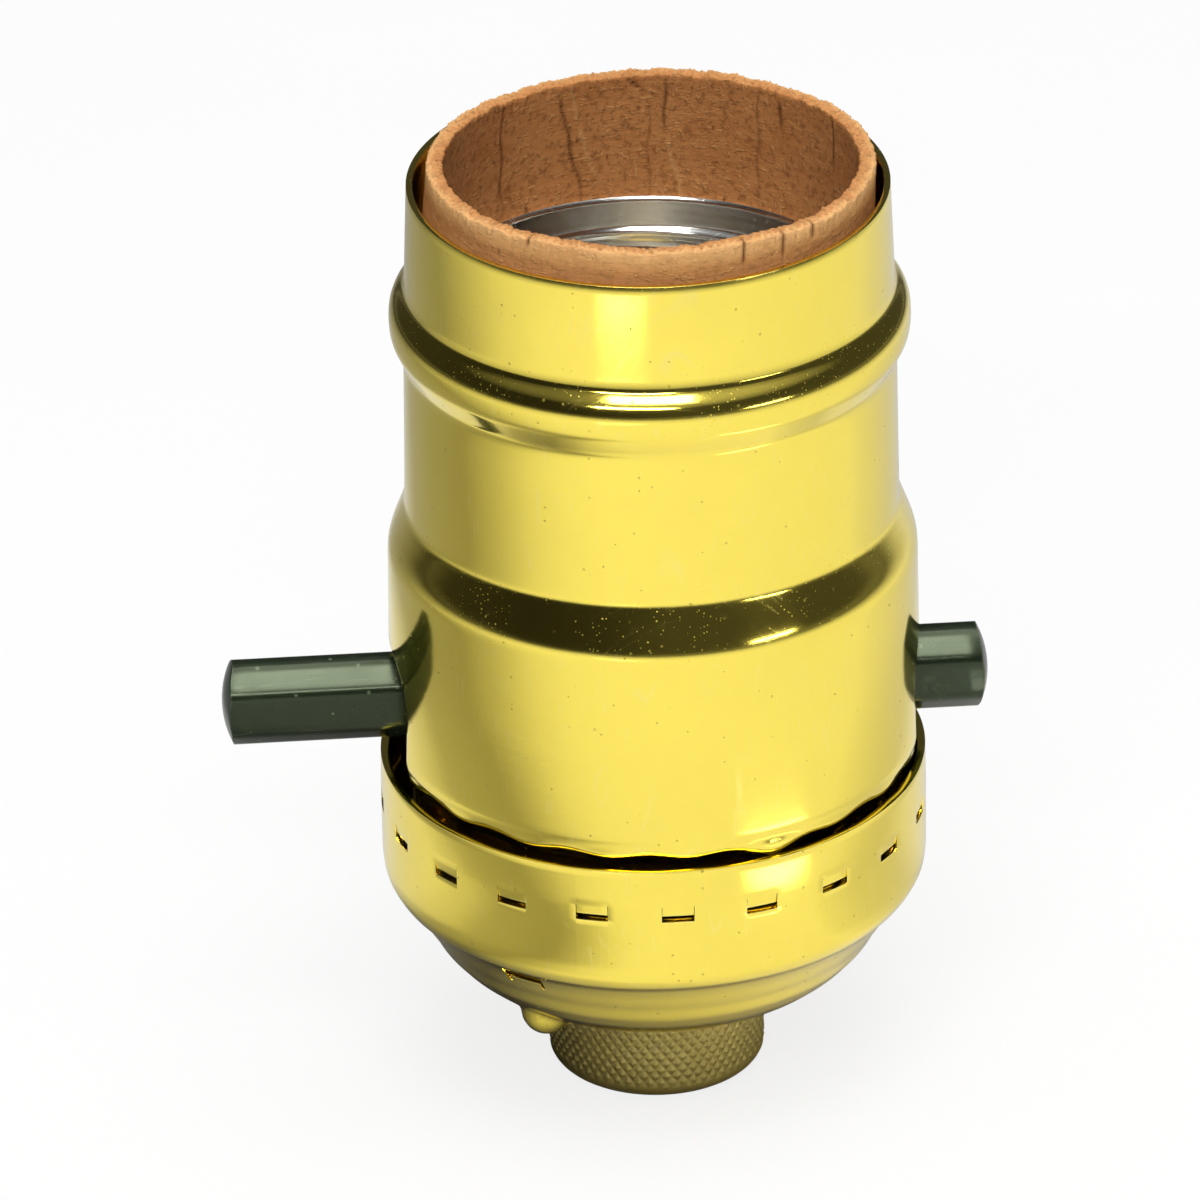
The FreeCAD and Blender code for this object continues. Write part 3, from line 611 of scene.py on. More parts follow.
@dataclass(frozen=True)
class Metal(Finish):
    """Plated or bare metal: rolled, stamped or turned, with scratches and worn edges."""

    colour: Colour
    shade: Colour
    worn: Colour
    roughness: float = 0.25
    grain: tuple[float, float, float] = (40.0, 40.0, 1500.0)
    grain_depth: float = 0.004

    def paint(self, graph: Graph, effects: Effects, place: Socket) -> dict[str, object]:
        """Draws the metal."""
        clouds = graph.effect(effects.mottle, Vector=place, Scale=220.0, Contrast=0.25)
        grain = graph.noise(graph.mapped(place, self.grain), 1.0, 3.0)
        hairs = graph.effect(effects.scratches, Vector=place, Scale=1.0, Amount=0.7)
        wear = graph.effect(effects.wear, Vector=place, Radius=0.0002, Amount=0.8)
        rough = graph.spread(grain, 0.3, 0.7, self.roughness * 0.8, self.roughness * 1.4)
        return {
            "Base Color": graph.layers(
                self.colour, (graph.times(clouds, 0.6), self.shade), (wear, self.worn)),
            "Roughness": graph.plus(rough, graph.times(hairs, 0.2)),
            "Normal": graph.bump(graph.calc("SUBTRACT", grain, hairs), self.grain_depth),
            "Metallic": 1.0}


@dataclass(frozen=True)
class Moulding(Finish):
    """A moulded resin: fine orange-peel, pale rubbed edges, dust specks."""

    colour: Colour
    cloud: Colour
    rubbed: Colour
    roughness: float = 0.35
    peel: float = 0.006
    speck_share: float = 0.12
    wear: float = 0.6
    sheen: Colour = (1.0, 1.0, 1.0)

    def paint(self, graph: Graph, effects: Effects, place: Socket) -> dict[str, object]:
        """Draws the resin."""
        clouds = graph.effect(effects.mottle, Vector=place, Scale=260.0, Contrast=0.2)
        specks = graph.effect(effects.specks, Vector=place, Scale=1700.0, Share=self.speck_share, Size=0.24)
        hairs = graph.effect(effects.scratches, Vector=place, Scale=1.0, Amount=0.6)
        wear = graph.effect(effects.wear, Vector=place, Radius=0.00025, Amount=self.wear)
        rubbed = graph.calc("MAXIMUM", wear, graph.times(hairs, 0.3))
        peel = graph.bump(graph.noise(place, 1500.0, 3.0), self.peel)
        return {
            "Base Color": graph.layers(
                self.colour, (clouds, self.cloud), (graph.times(specks, 0.45), self.rubbed),
                (rubbed, self.rubbed)),
            "Roughness": graph.spread(clouds, 0.0, 1.0, self.roughness * 0.8, self.roughness * 1.3),
            "Normal": graph.bump(hairs, 0.008, -0.5, peel),
            "Specular Tint": self.sheen}


@dataclass(frozen=True)
class Board(Finish):
    """Brown liner board: fibres, mottled pulp, and a pale furred cut edge."""

    pulp: Colour = (0.41, 0.150, 0.042)
    light: Colour = (0.56, 0.245, 0.080)
    cut: Colour = (0.74, 0.42, 0.17)
    # ridge also paints the highlight on raised ridges, and dark also paints the shade in creases and cracks
    ridge: Colour = (0.64, 0.34, 0.12)
    dark: Colour = (0.12, 0.036, 0.009)

    def paint(self, graph: Graph, effects: Effects, place: Socket) -> dict[str, object]:
        """Draws the board. The mesh's attributes say where the pale cut edge and the creases are; the creases
        get painted shade and the raised ridges a painted highlight.
        """
        clouds = graph.effect(effects.mottle, Vector=place, Scale=240.0, Contrast=0.25)
        grained = graph.mapped(place, (420.0, 420.0, 1300.0), (0.25, 0.2, 0.0))
        fibres = graph.noise(grained, 1.0, 6.0, 0.75)
        strands: object = 0.0
        for scale, turn, level in (((1500.0, 1500.0, 4200.0), (0.5, -0.3, 0.4), 0.60),
                                   ((3400.0, 3400.0, 1500.0), (-0.5, 0.4, 0.2), 0.61)):
            thread = graph.noise(graph.mapped(place, scale, turn), 1.0, 2.0)
            strands = graph.calc("MAXIMUM", strands, graph.spread(thread, level, 0.68))
        flecks = graph.effect(effects.specks, Vector=graph.mapped(place, (1.0, 1.0, 0.45)), Scale=1500.0,
                              Share=0.10, Size=0.26)
        worn = graph.spread(graph.noise(place, 2200.0, 5.0, 0.7), 0.50, 0.36)
        edge, crease = (graph.node("ShaderNodeAttribute", attribute_name=name).outputs["Fac"]
                        for name in ("cut", "crease"))
        return {
            "Base Color": graph.layers(
                self.pulp, (clouds, self.light), (graph.spread(fibres, 0.4, 0.62, 0.0, 0.7), self.light),
                (graph.times(strands, 0.5), self.ridge), (graph.times(flecks, 0.6), self.dark),
                (graph.times(worn, 0.5), self.dark),
                (graph.times(edge, graph.spread(fibres, 0.3, 0.6, 0.55, 1.0)), self.cut),
                # Painted shade in the creases and cracks, painted highlight on the raised ridges
                (graph.spread(crease, 0.0, 1.0, 0.0, 0.92), self.dark),
                (graph.spread(crease, 0.0, -1.0, 0.0, 0.8), self.ridge)),
            "Normal": graph.bump(graph.plus(fibres, graph.times(strands, 0.35)), 0.14, 0.9),
            "Roughness": 0.85, "Specular IOR Level": 0.2}


# Sub-assemblies, their sizes in millimetres and their angles in degrees


@dataclass
class OuterShell:
    """The drawn brass shell: rim, bead, middle, shoulder, skirt, and a fluted neck inside the cap."""

    profile: Pairs = (
        (15.16, 62.45), (15.29, 59.0), (15.42, 55.45), (15.48, 55.36), (15.70, 55.12), (16.05, 54.74),
        (16.21, 54.48), (16.32, 54.2), (16.39, 53.88), (16.41, 53.4), (16.40, 52.9), (16.33, 52.4),
        (15.90, 51.55), (15.60, 51.0), (15.53, 50.5), (15.57, 47.0), (15.62, 43.5), (15.66, 41.35),
        (15.68, 40.6), (15.71, 40.46), (16.08, 39.5), (16.43, 38.62), (16.62, 38.1), (16.76, 37.6),
        (16.81, 37.15), (16.82, 36.6), (16.90, 30.0), (16.95, 24.4), (16.78, 23.45), (16.20, 22.7),
        (16.15, 22.0), (16.15, 16.05))
    sheet: float = 0.4
    edge: float = 0.06
    shift: Pair = (0.15, -0.1)
    arch_radius: float = 5.3
    arch_z: float = 25.65
    leg_half_width: float = 4.75
    crown_width: float = 4.95
    squareness: float = 3.6
    close_angle: float = -67.0
    close_span: float = 9.0
    close_push: float = 0.42
    flutes: int = 20
    flute_depth: float = 0.15
    wobble: float = 0.012
    neck_top: float = 23.9
    reach: float = 1.2
    columns: int = 88

    def slot_half_width(self, height: np.ndarray) -> np.ndarray:
        """Half the slot's width at each height: a squared arch over straight legs, nothing above."""
        rise = unit((height - self.arch_z) / self.arch_radius)
        arch = self.crown_width * (1.0 - rise ** self.squareness) ** (1.0 / self.squareness)
        ease = unit((height - self.arch_z + 1.0) / 3.0)
        return self.leg_half_width + (arch - self.leg_half_width) * ease

    def heights(self) -> np.ndarray:
        """Heights of the rows, close together where the profile or the arch turns fast."""
        top, foot = self.profile[0][1], self.profile[-1][1]
        apex = self.arch_z + self.arch_radius
        arch = self.arch_z + self.arch_radius * (1.0 - np.linspace(0.0, 1.0, 25) ** 1.6)
        above = steps((top, 55.6, 12), (55.6, 50.3, 30), (50.3, 41.6, 8), (41.6, 36.8, 28), (36.8, apex, 8))
        below = steps((self.arch_z, 24.6, 3), (24.6, 22.0, 16), (22.0, foot, 8))
        return np.concatenate([above[:-1], arch, below[1:]])

    def half(self, front: bool) -> Patch:
        """Half of the shell, from slot to slot.

        The columns are even, and near a slot they give way by its half angle. The radius follows the
        softened profile by height. The neck's radius is rippled by a cosine of the angle and swells on
        the right of the front, where the shell nearly meets the cap. A faint wobble covers the whole
        sheet, as drawn metal is never quite true.

        Args:
            front: Whether this is the half on the camera's side.

        Returns:
            The half's outside.
        """
        line = softened(self.profile, 0.05, 0.16)[::-1]
        height = self.heights()[:, None]
        radius = np.interp(height, line[:, 1], line[:, 0])
        gap = np.arcsin(unit(self.slot_half_width(height) / radius))
        even = np.linspace(0.0, math.pi, self.columns + 1)[None, :]
        near_start = unit(1.0 - even / self.reach) ** 2
        near_end = unit(1.0 - (math.pi - even) / self.reach) ** 2
        angle = even + gap * (near_start - near_end) - (math.pi if front else 0.0)
        foot = unit((self.neck_top - height) / 0.9)
        flute = self.flute_depth * foot * np.cos(self.flutes * angle + 0.9 * np.sin(angle))
        aside = (np.degrees(angle) - self.close_angle) / self.close_span
        close = self.close_push * foot * np.exp(-aside ** 2)
        uneven = self.wobble * wobble(angle, 0.16 * height, 5)
        return Patch(ring_points(radius + flute + close + uneven, angle, height) + (*self.shift, 0.0))

    def build(self, material: bpy.types.Material) -> None:
        """Makes the shell and dresses it."""
        shell = make_object("shell_outer", [self.half(True), self.half(False)])
        give_wall(shell, self.sheet, self.edge)
        dress(shell, Body.SHELL, "outer_shell", material)


@dataclass
class Cap:
    """The drawn brass cap: wall with lanced tabs, small step, bowl with the set screw's pocket."""

    profile: Pairs = (
        (17.42, 22.6), (17.46, 20.0), (17.45, 15.6), (17.36, 14.7), (16.95, 13.95), (16.4, 13.5),
        (15.75, 12.6), (15.26, 11.8), (14.85, 11.2), (14.32, 10.2), (13.46, 9.2), (12.4, 8.3), (11.2, 7.55),
        (9.6, 6.75), (8.3, 6.0), (7.5, 5.56), (7.3, 5.5), (6.15, 5.5))
    rim_z: float = 22.6
    sheet: float = 0.5
    edge: float = 0.05
    wobble: float = 0.012
    tabs: int = 20
    tab_half_width: float = 1.0
    lance: float = 0.035
    hinge_z: float = 20.1
    slit_top_z: float = 19.42
    slit_low_z: float = 19.02
    push: float = 0.10
    wall_radius: float = 17.45
    pocket_angle: float = -134.0
    pocket_radius: float = 1.62
    pocket_start: float = 7.43
    pocket_end: float = 11.1
    pocket_z: float = 7.96
    slit_angle: float = -126.4
    slit_radius: float = 16.2
    slit_half_width: float = 1.35
    slit_z: Pair = (13.5, 12.9)
    leg_z: float = 12.35
    leg_width: float = 0.2
    fillet: float = 0.12
    mouth: tuple[float, float, float, float] = (9.7, 11.0, -0.3, 1.35)
    mouth_z: float = 9.0
    fine_span: Pair = (-148.0, -114.0)
    fine_cells: int = 6

    def angles(self) -> np.ndarray:
        """Angles of the columns: each tab's edges and cuts, four cells across it, and the wall between."""
        edge = self.tab_half_width / self.wall_radius
        cut = (self.tab_half_width + self.lance) / self.wall_radius
        pitch = 2 * math.pi / self.tabs
        between_tabs = (cut, pitch - cut, 7), (pitch - cut, pitch - edge, 1)
        one = steps((-edge, edge, 4), (edge, cut, 1), *between_tabs)[:-1]
        starts = -math.pi + pitch * np.arange(self.tabs)
        coarse = (starts[:, None] + one[None, :]).ravel()
        low, high = (math.radians(a) for a in self.fine_span)
        wanted = coarse[(coarse > low) & (coarse < high)]
        parts = np.arange(1, self.fine_cells) / self.fine_cells
        between = wanted[:-1, None] + np.diff(wanted)[:, None] * parts
        return np.sort(np.concatenate([coarse, between.ravel()]))

    def rows(self) -> np.ndarray:
        """Profile points of the rows, with a row at each cut of the tabs and of the pocket's slit."""
        line = softened(self.profile, 0.04, 0.16)
        along = lengths(line)
        marks = (self.rim_z, self.hinge_z, self.slit_top_z, self.slit_low_z, 15.9, *self.slit_z, self.leg_z,
                 9.6, 6.0, 5.6)
        places = [float(np.interp(-z, -line[:, 1], along)) for z in marks] + [float(along[-1])]
        return sampled(line, steps(*zip(places, places[1:], (5, 5, 2, 8, 16, 2, 3, 14, 30, 3, 8))))

    def pocket_push(self, points: np.ndarray, normals: np.ndarray) -> np.ndarray:
        """How far each point moves out along its normal to clear the pocket's round-ended finger.

        The exit distance of a ray from a capsule is found by stepping along the ray; a soft maximum
        with nothing leaves a small fillet where the pocket meets the bowl.

        Args:
            points: Points of the cap.
            normals: Their unit normals, outward.

        Returns:
            A distance for each point.
        """
        turn = math.radians(self.pocket_angle)
        way = np.array([math.cos(turn), math.sin(turn), 0.0])
        base = way * self.pocket_start + np.array([0.0, 0.0, self.pocket_z])
        reach = np.linspace(0.0, 4.0, 161)
        probe = points[..., None, :] + normals[..., None, :] * reach[:, None]
        span = np.clip((probe - base) @ way, -3.0, self.pocket_end - self.pocket_start)
        gap = np.linalg.norm(probe - base - span[..., None] * way, axis=-1) - self.pocket_radius
        inside = np.where(gap < 0.0, reach, -1.0).max(axis=-1)
        signed = np.where(inside >= 0.0, inside, -gap[..., 0])
        soft = self.fillet * np.logaddexp(0.0, signed / self.fillet)
        return soft * np.exp(-np.maximum(-signed, 0.0) * 3.0)

    def off_tab(self, angles: np.ndarray) -> np.ndarray:
        """Each angle's distance from the middle of its nearest tab."""
        pitch = 2 * math.pi / self.tabs
        return np.abs((angles + math.pi / 2 + pitch / 2) % pitch - pitch / 2)

    def patch(self) -> Patch:
        """The cap's outside. Tabs lean in from their hinge, and the pocket stands out of the bowl."""
        rows, angles = self.rows(), self.angles()
        radius, height = rows[:, 0][:, None], rows[:, 1][:, None]
        points = ring_points(radius + self.wobble * wobble(angles, 0.2 * height, 9), angles, height)
        slope = np.gradient(rows, axis=0)
        out = np.stack([-slope[:, 1], slope[:, 0]], axis=1)
        out = out / np.linalg.norm(out, axis=1, keepdims=True)
        normals = ring_points(out[:, 0][:, None], angles, out[:, 1][:, None])
        points = points + normals * self.pocket_push(points, normals)[..., None]
        on_tab = self.off_tab(angles) < (self.tab_half_width + 0.01) / self.wall_radius
        leaning = (height <= self.hinge_z + 1e-6) & (height >= self.slit_top_z - 1e-3)
        lean = self.push * (self.hinge_z - height) / (self.hinge_z - self.slit_top_z) * (leaning & on_tab)
        points = points - ring_points(1.0, angles, 0.0) * lean[..., None]
        return Patch(points, closed=True, hidden=self.cells_cut(rows, angles))

    def cells_cut(self, rows: np.ndarray, angles: np.ndarray) -> np.ndarray:
        """The cells that the tabs' cuts and the pocket's slit take away."""
        middle_z = (rows[:-1, 1] + rows[1:, 1])[:, None] / 2
        width = np.diff(np.append(angles, angles[0] + 2 * math.pi))
        middle = angles + width / 2
        local = self.off_tab(middle)
        edge = self.tab_half_width / self.wall_radius
        cut = (self.tab_half_width + self.lance) / self.wall_radius
        slit = (local < cut) & (middle_z < self.slit_top_z) & (middle_z > self.slit_low_z)
        sides = (local < cut) & (local > edge) & (middle_z < self.hinge_z) & (middle_z > self.slit_low_z)
        across = np.abs(middle - math.radians(self.slit_angle)) * self.slit_radius
        high, low = self.slit_z
        level = (across < self.slit_half_width) & (middle_z < high) & (middle_z > low)
        legs = (np.abs(across - self.slit_half_width + self.leg_width / 2) < self.leg_width / 2)
        legs = legs & (middle_z < high) & (middle_z > self.leg_z)
        return slit | sides | level | legs | self.mouth_cells(rows, middle)

    def mouth_cells(self, rows: np.ndarray, middle: np.ndarray) -> np.ndarray:
        """The cells of the pocket's open front side, by reach along the pocket and place across it."""
        turn = middle - math.radians(self.pocket_angle)
        radius = (rows[:-1, 0] + rows[1:, 0])[:, None] / 2
        low = (rows[:-1, 1] < self.mouth_z)[:, None]
        reach, across = radius * np.cos(turn), radius * np.sin(turn)
        near, far, left, right = self.mouth
        return low & (reach > near) & (reach < far) & (across > left) & (across < right)

    def build(self, material: bpy.types.Material) -> None:
        """Makes the cap and dresses it."""
        cap = make_object("cap_drawn", [self.patch()])
        give_wall(cap, self.sheet, self.edge)
        dress(cap, Body.CAP, "cap", material)


@dataclass
class Hub:
    """The turned hub: a diamond-knurled band over a rounded foot, and a bored neck inside the cap."""

    radius: float = 6.98
    height: float = 5.5
    fillet: float = 1.3
    bore: float = 4.65
    neck: float = 6.1
    stake: float = 6.9
    sleeve: float = 6.5
    top: float = 10.0
    stake_z: Pair = (6.75, 6.0)
    band_z: float = 0.75
    thread_pitch: float = 0.94
    thread_depth: float = 0.16
    knurls: int = 60
    knurl_pitch: float = 0.73
    knurl_depth: float = 0.13
    columns: int = 480

    def patch(self) -> Patch:
        """The hub's closed skin, from the top of its bore out over the neck and down to the bore again.

        The knurl is the product of two triangle waves that cross: one winds up to the left and one to
        the right, and it fades towards the band's ends. The bore carries the thread's rings.
        """
        outer = np.linspace(self.height, self.fillet, 58)
        turn = np.linspace(0.0, math.pi / 2, 10)[1:]
        foot = self.fillet * np.stack([np.cos(turn) - 1, 1 - np.sin(turn)], axis=1) + (self.radius, 0.0)
        inside = steps((0.0, 0.6, 3), (0.6, self.top, 62))
        bore = np.stack([np.full(len(inside), self.bore), inside], axis=1)
        high, low = self.stake_z
        head = np.array([
            (self.bore, self.top), (self.sleeve, self.top), (self.sleeve, high), (self.stake, high),
            (self.stake, low), (self.neck, low), (self.neck, self.height),
            (self.radius - 0.15, self.height)])
        band = np.stack([np.full(len(outer), self.radius), outer], axis=1)
        rows = np.concatenate([head, band, foot, bore])
        angle = full_turn(self.columns)
        radius, height = rows[:, 0][:, None], rows[:, 1][:, None]
        lean = 2 * math.pi * height / (self.knurl_pitch * 1.25)
        waves = [np.abs(((self.knurls * angle + side * lean) / math.pi) % 2.0 - 1.0) for side in (1, -1)]
        relief = np.minimum(*waves)
        on_band = (rows[:, 0] > self.stake + 0.02)[:, None] & (height > self.band_z)
        fade = unit((height - self.band_z) / 0.6) * unit((self.height + 0.02 - height) / 0.12)
        thread = (rows[:, 0] < self.bore + 0.01)[:, None] & (height > 0.5) & (height < self.top - 0.4)
        turns = np.cos(2 * math.pi * height / self.thread_pitch - angle)
        groove = self.thread_depth * (0.5 + 0.5 * turns)
        radius = radius - on_band * fade * self.knurl_depth * (1 - relief) * 1.2 + thread * groove
        return Patch(ring_points(radius, angle, height), closed=True)

    def build(self, material: bpy.types.Material) -> None:
        """Makes the hub and dresses it."""
        hub = make_object("hub_knurled", [self.patch()])
        dress(hub, Body.CAP, "threaded_hub", material)


@dataclass
class Liner:
    """The cardboard liner: a rolled tube with a furred, slightly crushed edge that leans inward."""

    radius: float = 14.3
    wall: float = 0.68
    edge_inset: float = 0.28
    edge_wall: float = 1.05
    foot_z: float = 16.05
    lean_z: float = 56.95
    top_front: float = 64.45
    top_back: float = 63.75
    lean: float = 0.4
    rim_drop: float = 0.34
    fur: float = 0.26
    groove: float = 0.10
    ragged: float = 0.05
    ragged_share: float = 0.975
    slot_half_width: float = 5.6
    slot_top: float = 32.1
    columns: int = 720

    def top(self, angle: np.ndarray) -> np.ndarray:
        """Height of the rim at each angle: a plane that falls to the back, less a ragged wander."""
        middle = (self.top_front + self.top_back) / 2
        plane = middle - (self.top_front - self.top_back) / 2 * np.sin(angle)
        ragged = 0.10 * wobble(angle, np.zeros(1), 21, 7) + 0.06 * wobble(7 * angle, np.zeros(1), 22, 9)
        return plane - self.rim_drop + np.minimum(ragged, 0.12)

    def skin(self, share: np.ndarray, angle: np.ndarray, inset: np.ndarray) -> np.ndarray:
        """Points of the liner's wall.

        Args:
            share: Height as a share of the wall, 0 at the foot and 1 at the rim.
            angle: Angle about Z.
            inset: Depth into the wall, 0 outside and 1 inside.

        Returns:
            The points; above the lean height the wall thickens, draws in and leans towards +X.
        """
        height = self.foot_z + share * (self.top(angle) - self.foot_z)
        up = unit((height - self.lean_z) / (self.top_front - self.lean_z))
        outside = self.radius - self.edge_inset * up
        inside = self.radius - self.wall + (self.edge_wall - self.wall + self.edge_inset) * -up
        radius = outside + (inside - outside) * inset
        points = ring_points(radius, angle, height)
        points[..., 0] += self.lean * up
        return points

    def creases(self, angle: np.ndarray, height: np.ndarray) -> np.ndarray:
        """Creases inside the liner by angle and height: up to 1 in a crease, painted shade, down to -1 on a
        raised ridge, painted highlight.

        Each mark is its upper and lower angle, upper and lower height, width in degrees and strength.
        It runs straight between its ends with a slight wander, is bell-shaped across and fades out.

        Args:
            angle: Angle about Z, in radians.
            height: Height in millimetres.

        Returns:
            The creases' strength at the points.
        """
        marks = (
            (130.5, 127.0, 63.3, 55.6, 0.3, 0.9), (110.3, 102.5, 62.4, 55.3, 0.3, 1.0),
            (104.8, 97.8, 60.2, 56.0, 0.3, -1.3), (107.5, 105.0, 63.2, 60.4, 0.3, -1.0),
            (93.0, 85.1, 63.6, 62.0, 0.45, 1.1), (85.0, 84.3, 61.7, 55.2, 0.3, 0.45),
            (80.9, 80.3, 63.3, 59.2, 0.32, 0.9), (80.3, 75.4, 59.2, 55.3, 0.3, -1.3),
            (53.6, 53.6, 63.5, 55.4, 0.3, 0.45), (46.1, 46.3, 63.0, 60.6, 0.35, 1.1),
            (24.4, 23.8, 63.8, 59.7, 0.35, 1.1), (160.0, 159.0, 62.0, 56.0, 0.3, 0.5),
            (8.0, 9.0, 62.0, 57.5, 0.3, 0.4), (-20.0, -19.0, 63.0, 57.0, 0.3, 0.6),
            (-75.0, -74.0, 62.0, 56.0, 0.3, 0.6), (-110.0, -108.0, 62.5, 58.0, 0.3, -0.9),
            (-150.0, -152.0, 63.0, 57.0, 0.3, 0.7))
        total = np.zeros(np.broadcast(angle, height).shape)
        for upper, lower, high, low, width, strength in marks:
            down = unit((high - height) / (high - low))
            bend = upper + (lower - upper) * down + 0.35 * np.sin(1.7 * height + upper)
            away = (np.degrees(angle) - bend + 180.0) % 360.0 - 180.0
            line = np.exp(-0.5 * (away / width) ** 2)
            ends = unit((height - low) / 0.8) * unit((high - height) / 0.5)
            total = total + strength * line * ends
        return np.clip(total, -1.0, 1.0)

    def patch(self) -> tuple[Patch, np.ndarray, np.ndarray]:
        """The liner's closed skin with the masks of its cut edge, which also pales the outside towards the
        top, and of its creases and cracks, which carry painted shade and painted highlight.
        """
        angle = full_turn(self.columns)
        wall = steps((1.0, 0.97, 6), (0.97, 0.84, 16), (0.84, 0.0, 16))
        count = len(wall)
        over = np.linspace(math.pi, 0.0, 9)[1:-1]
        share = np.concatenate([wall[::-1], np.ones(len(over)), wall])[:, None]
        rim_inset = 0.5 + 0.5 * np.cos(over[::-1])
        inset = np.concatenate([np.ones(count), rim_inset, np.zeros(count)])[:, None]
        points = self.skin(share, angle, inset)
        crown = np.zeros_like(share)
        crown[count:-count, 0] = np.sin(over)
        fur = wobble(37 * angle, 9.0 * inset, 31, 8) + wobble(83 * angle, 13.0 * inset, 37, 8)
        furred = 0.5 + 0.25 * fur
        points[..., 2] += self.fur * crown * furred
        near = unit((share - self.ragged_share) / (1.0 - self.ragged_share))
        rough = wobble(31 * angle, 30 * share, 33, 8) + wobble(71 * angle, 55 * share, 35, 8)
        height = points[..., 2]
        crease = self.creases(angle, height) * inset
        outer_cracks = self.outer_cracks(angle, height) * (1 - inset)
        out = ring_points(1.0, angle, np.zeros_like(share))
        moved = self.ragged * near * rough + self.groove * (crease - outer_cracks)
        points = points + out * moved[..., None]
        outside = 0.35 * unit((share - 0.80) / 0.12) * (1.0 - inset)
        lip = np.exp(-(inset / 0.25) ** 2) * unit(near + crown * 9.0)
        cut = unit(0.9 * lip + 0.8 * crown * (furred - 0.35) + outside)
        return Patch(points, closed=True), np.broadcast_to(cut, crease.shape), crease + outer_cracks

    def outer_cracks(self, angle: np.ndarray, height: np.ndarray) -> np.ndarray:
        """Short cracks down from the rim outside, mostly at the front right; the board's colour gives them
        painted shade.
        """
        depth = np.zeros(np.broadcast(angle, height).shape)
        for centre, low in ((-71.0, 62.7), (-59.5, 62.5), (-49.5, 63.0), (-128.0, 63.5)):
            away = (angle - math.radians(centre) + math.pi) % (2 * math.pi) - math.pi
            line = np.exp(-0.5 * (np.degrees(away) / 0.32) ** 2)
            depth = np.maximum(depth, line * unit((height - low) / 0.3))
        return depth

    @staticmethod
    def vertex_order(liner: bpy.types.Object, points: np.ndarray) -> np.ndarray:
        """For each vertex of the welded mesh, the place of its point in the grid.

        Args:
            liner: The mesh, whose weld may have moved some vertices to the end.
            points: The grid that it was made from.

        Returns:
            Indexes into the flattened grid, found by sorting both sets of coordinates alike.
        """
        made = np.empty(3 * len(liner.data.vertices), np.float32)
        liner.data.vertices.foreach_get("co", made)
        grid = (points * MM).astype(np.float32).reshape(-1, 3)
        order = np.empty(len(grid), int)
        order[np.lexsort(made.reshape(-1, 3).T)] = np.lexsort(grid.T)
        return order

    def build(self, material: bpy.types.Material) -> None:
        """Makes the liner, cuts its slots and dresses it."""
        patch, cut, crease = self.patch()
        points = patch.points[::-1]
        around = Patch(np.concatenate([points, points[:1]]), closed=True)
        liner = make_object("liner_board", [around], 1e-5)
        order = self.vertex_order(liner, points)
        for name, values in (("cut", cut[::-1]), ("crease", crease[::-1])):
            layer = liner.data.attributes.new(name, "FLOAT", "POINT")
            layer.data.foreach_set("value", values.astype(np.float32).ravel()[order])
        reach = self.radius + 5.0
        cut_away(liner, [box_cutter((-reach, -self.slot_half_width, self.foot_z - 1.0),
                                    (reach, self.slot_half_width, self.slot_top))])
        dress(liner, Body.SHELL, "insulating_liner", material)


@dataclass
class ScrewShell:
    """The silver screw shell with its rolled right-hand thread, collar, neck and floor."""

    top_z: float = 54.90
    collar_z: float = 52.95
    neck_z: float = 35.73
    floor_z: float = 32.95
    major: float = 13.22
    minor: float = 12.38
    neck: float = 12.6
    hole: float = 5.4
    pitch: float = 3.629
    sheet: float = 0.25
    flare: float = 0.14
    flare_height: float = 0.28
    edge: float = 0.05
    columns: int = 128

    def patch(self) -> Patch:
        """The inside of the sheet.

        The radius is the mean of crest and root plus a cosine of the height less the angle, which
        winds up to the right; it eases into the plain collar above and the plain neck below.
        """
        floor_z = self.floor_z + self.sheet
        height = steps((self.top_z, self.collar_z, 14), (self.collar_z, self.neck_z, 132),
                       (self.neck_z, floor_z, 5))[:, None]
        angle = full_turn(self.columns)
        top = unit((self.collar_z - height) / 0.7)
        low = unit((height - self.neck_z) / 1.2)
        ease = (3 * top ** 2 - 2 * top ** 3) * (3 * low ** 2 - 2 * low ** 3)
        wave = np.cos(2 * math.pi * height / self.pitch - angle)
        thread = (self.major + self.minor) / 2 + (self.major - self.minor) / 2 * wave
        plain = np.where(height > (self.collar_z + self.neck_z) / 2, self.major, self.neck)
        radius = plain + (thread - plain) * ease
        flare = self.flare * unit((height - self.top_z) / self.flare_height + 1.0)
        wall = ring_points(radius + flare, angle, height)
        floor_radius = np.linspace(self.neck - 0.3, self.hole, 8)[:, None]
        floor = ring_points(floor_radius, angle, np.full_like(floor_radius, floor_z))
        return Patch(np.concatenate([wall, floor]), closed=True)

    def build(self, material: bpy.types.Material) -> None:
        """Makes the screw shell and dresses it."""
        shell = make_object("screw_shell_rolled", [self.patch()])
        give_wall(shell, self.sheet, self.edge, side=1.0)
        dress(shell, Body.CAP, "screw_shell", material)


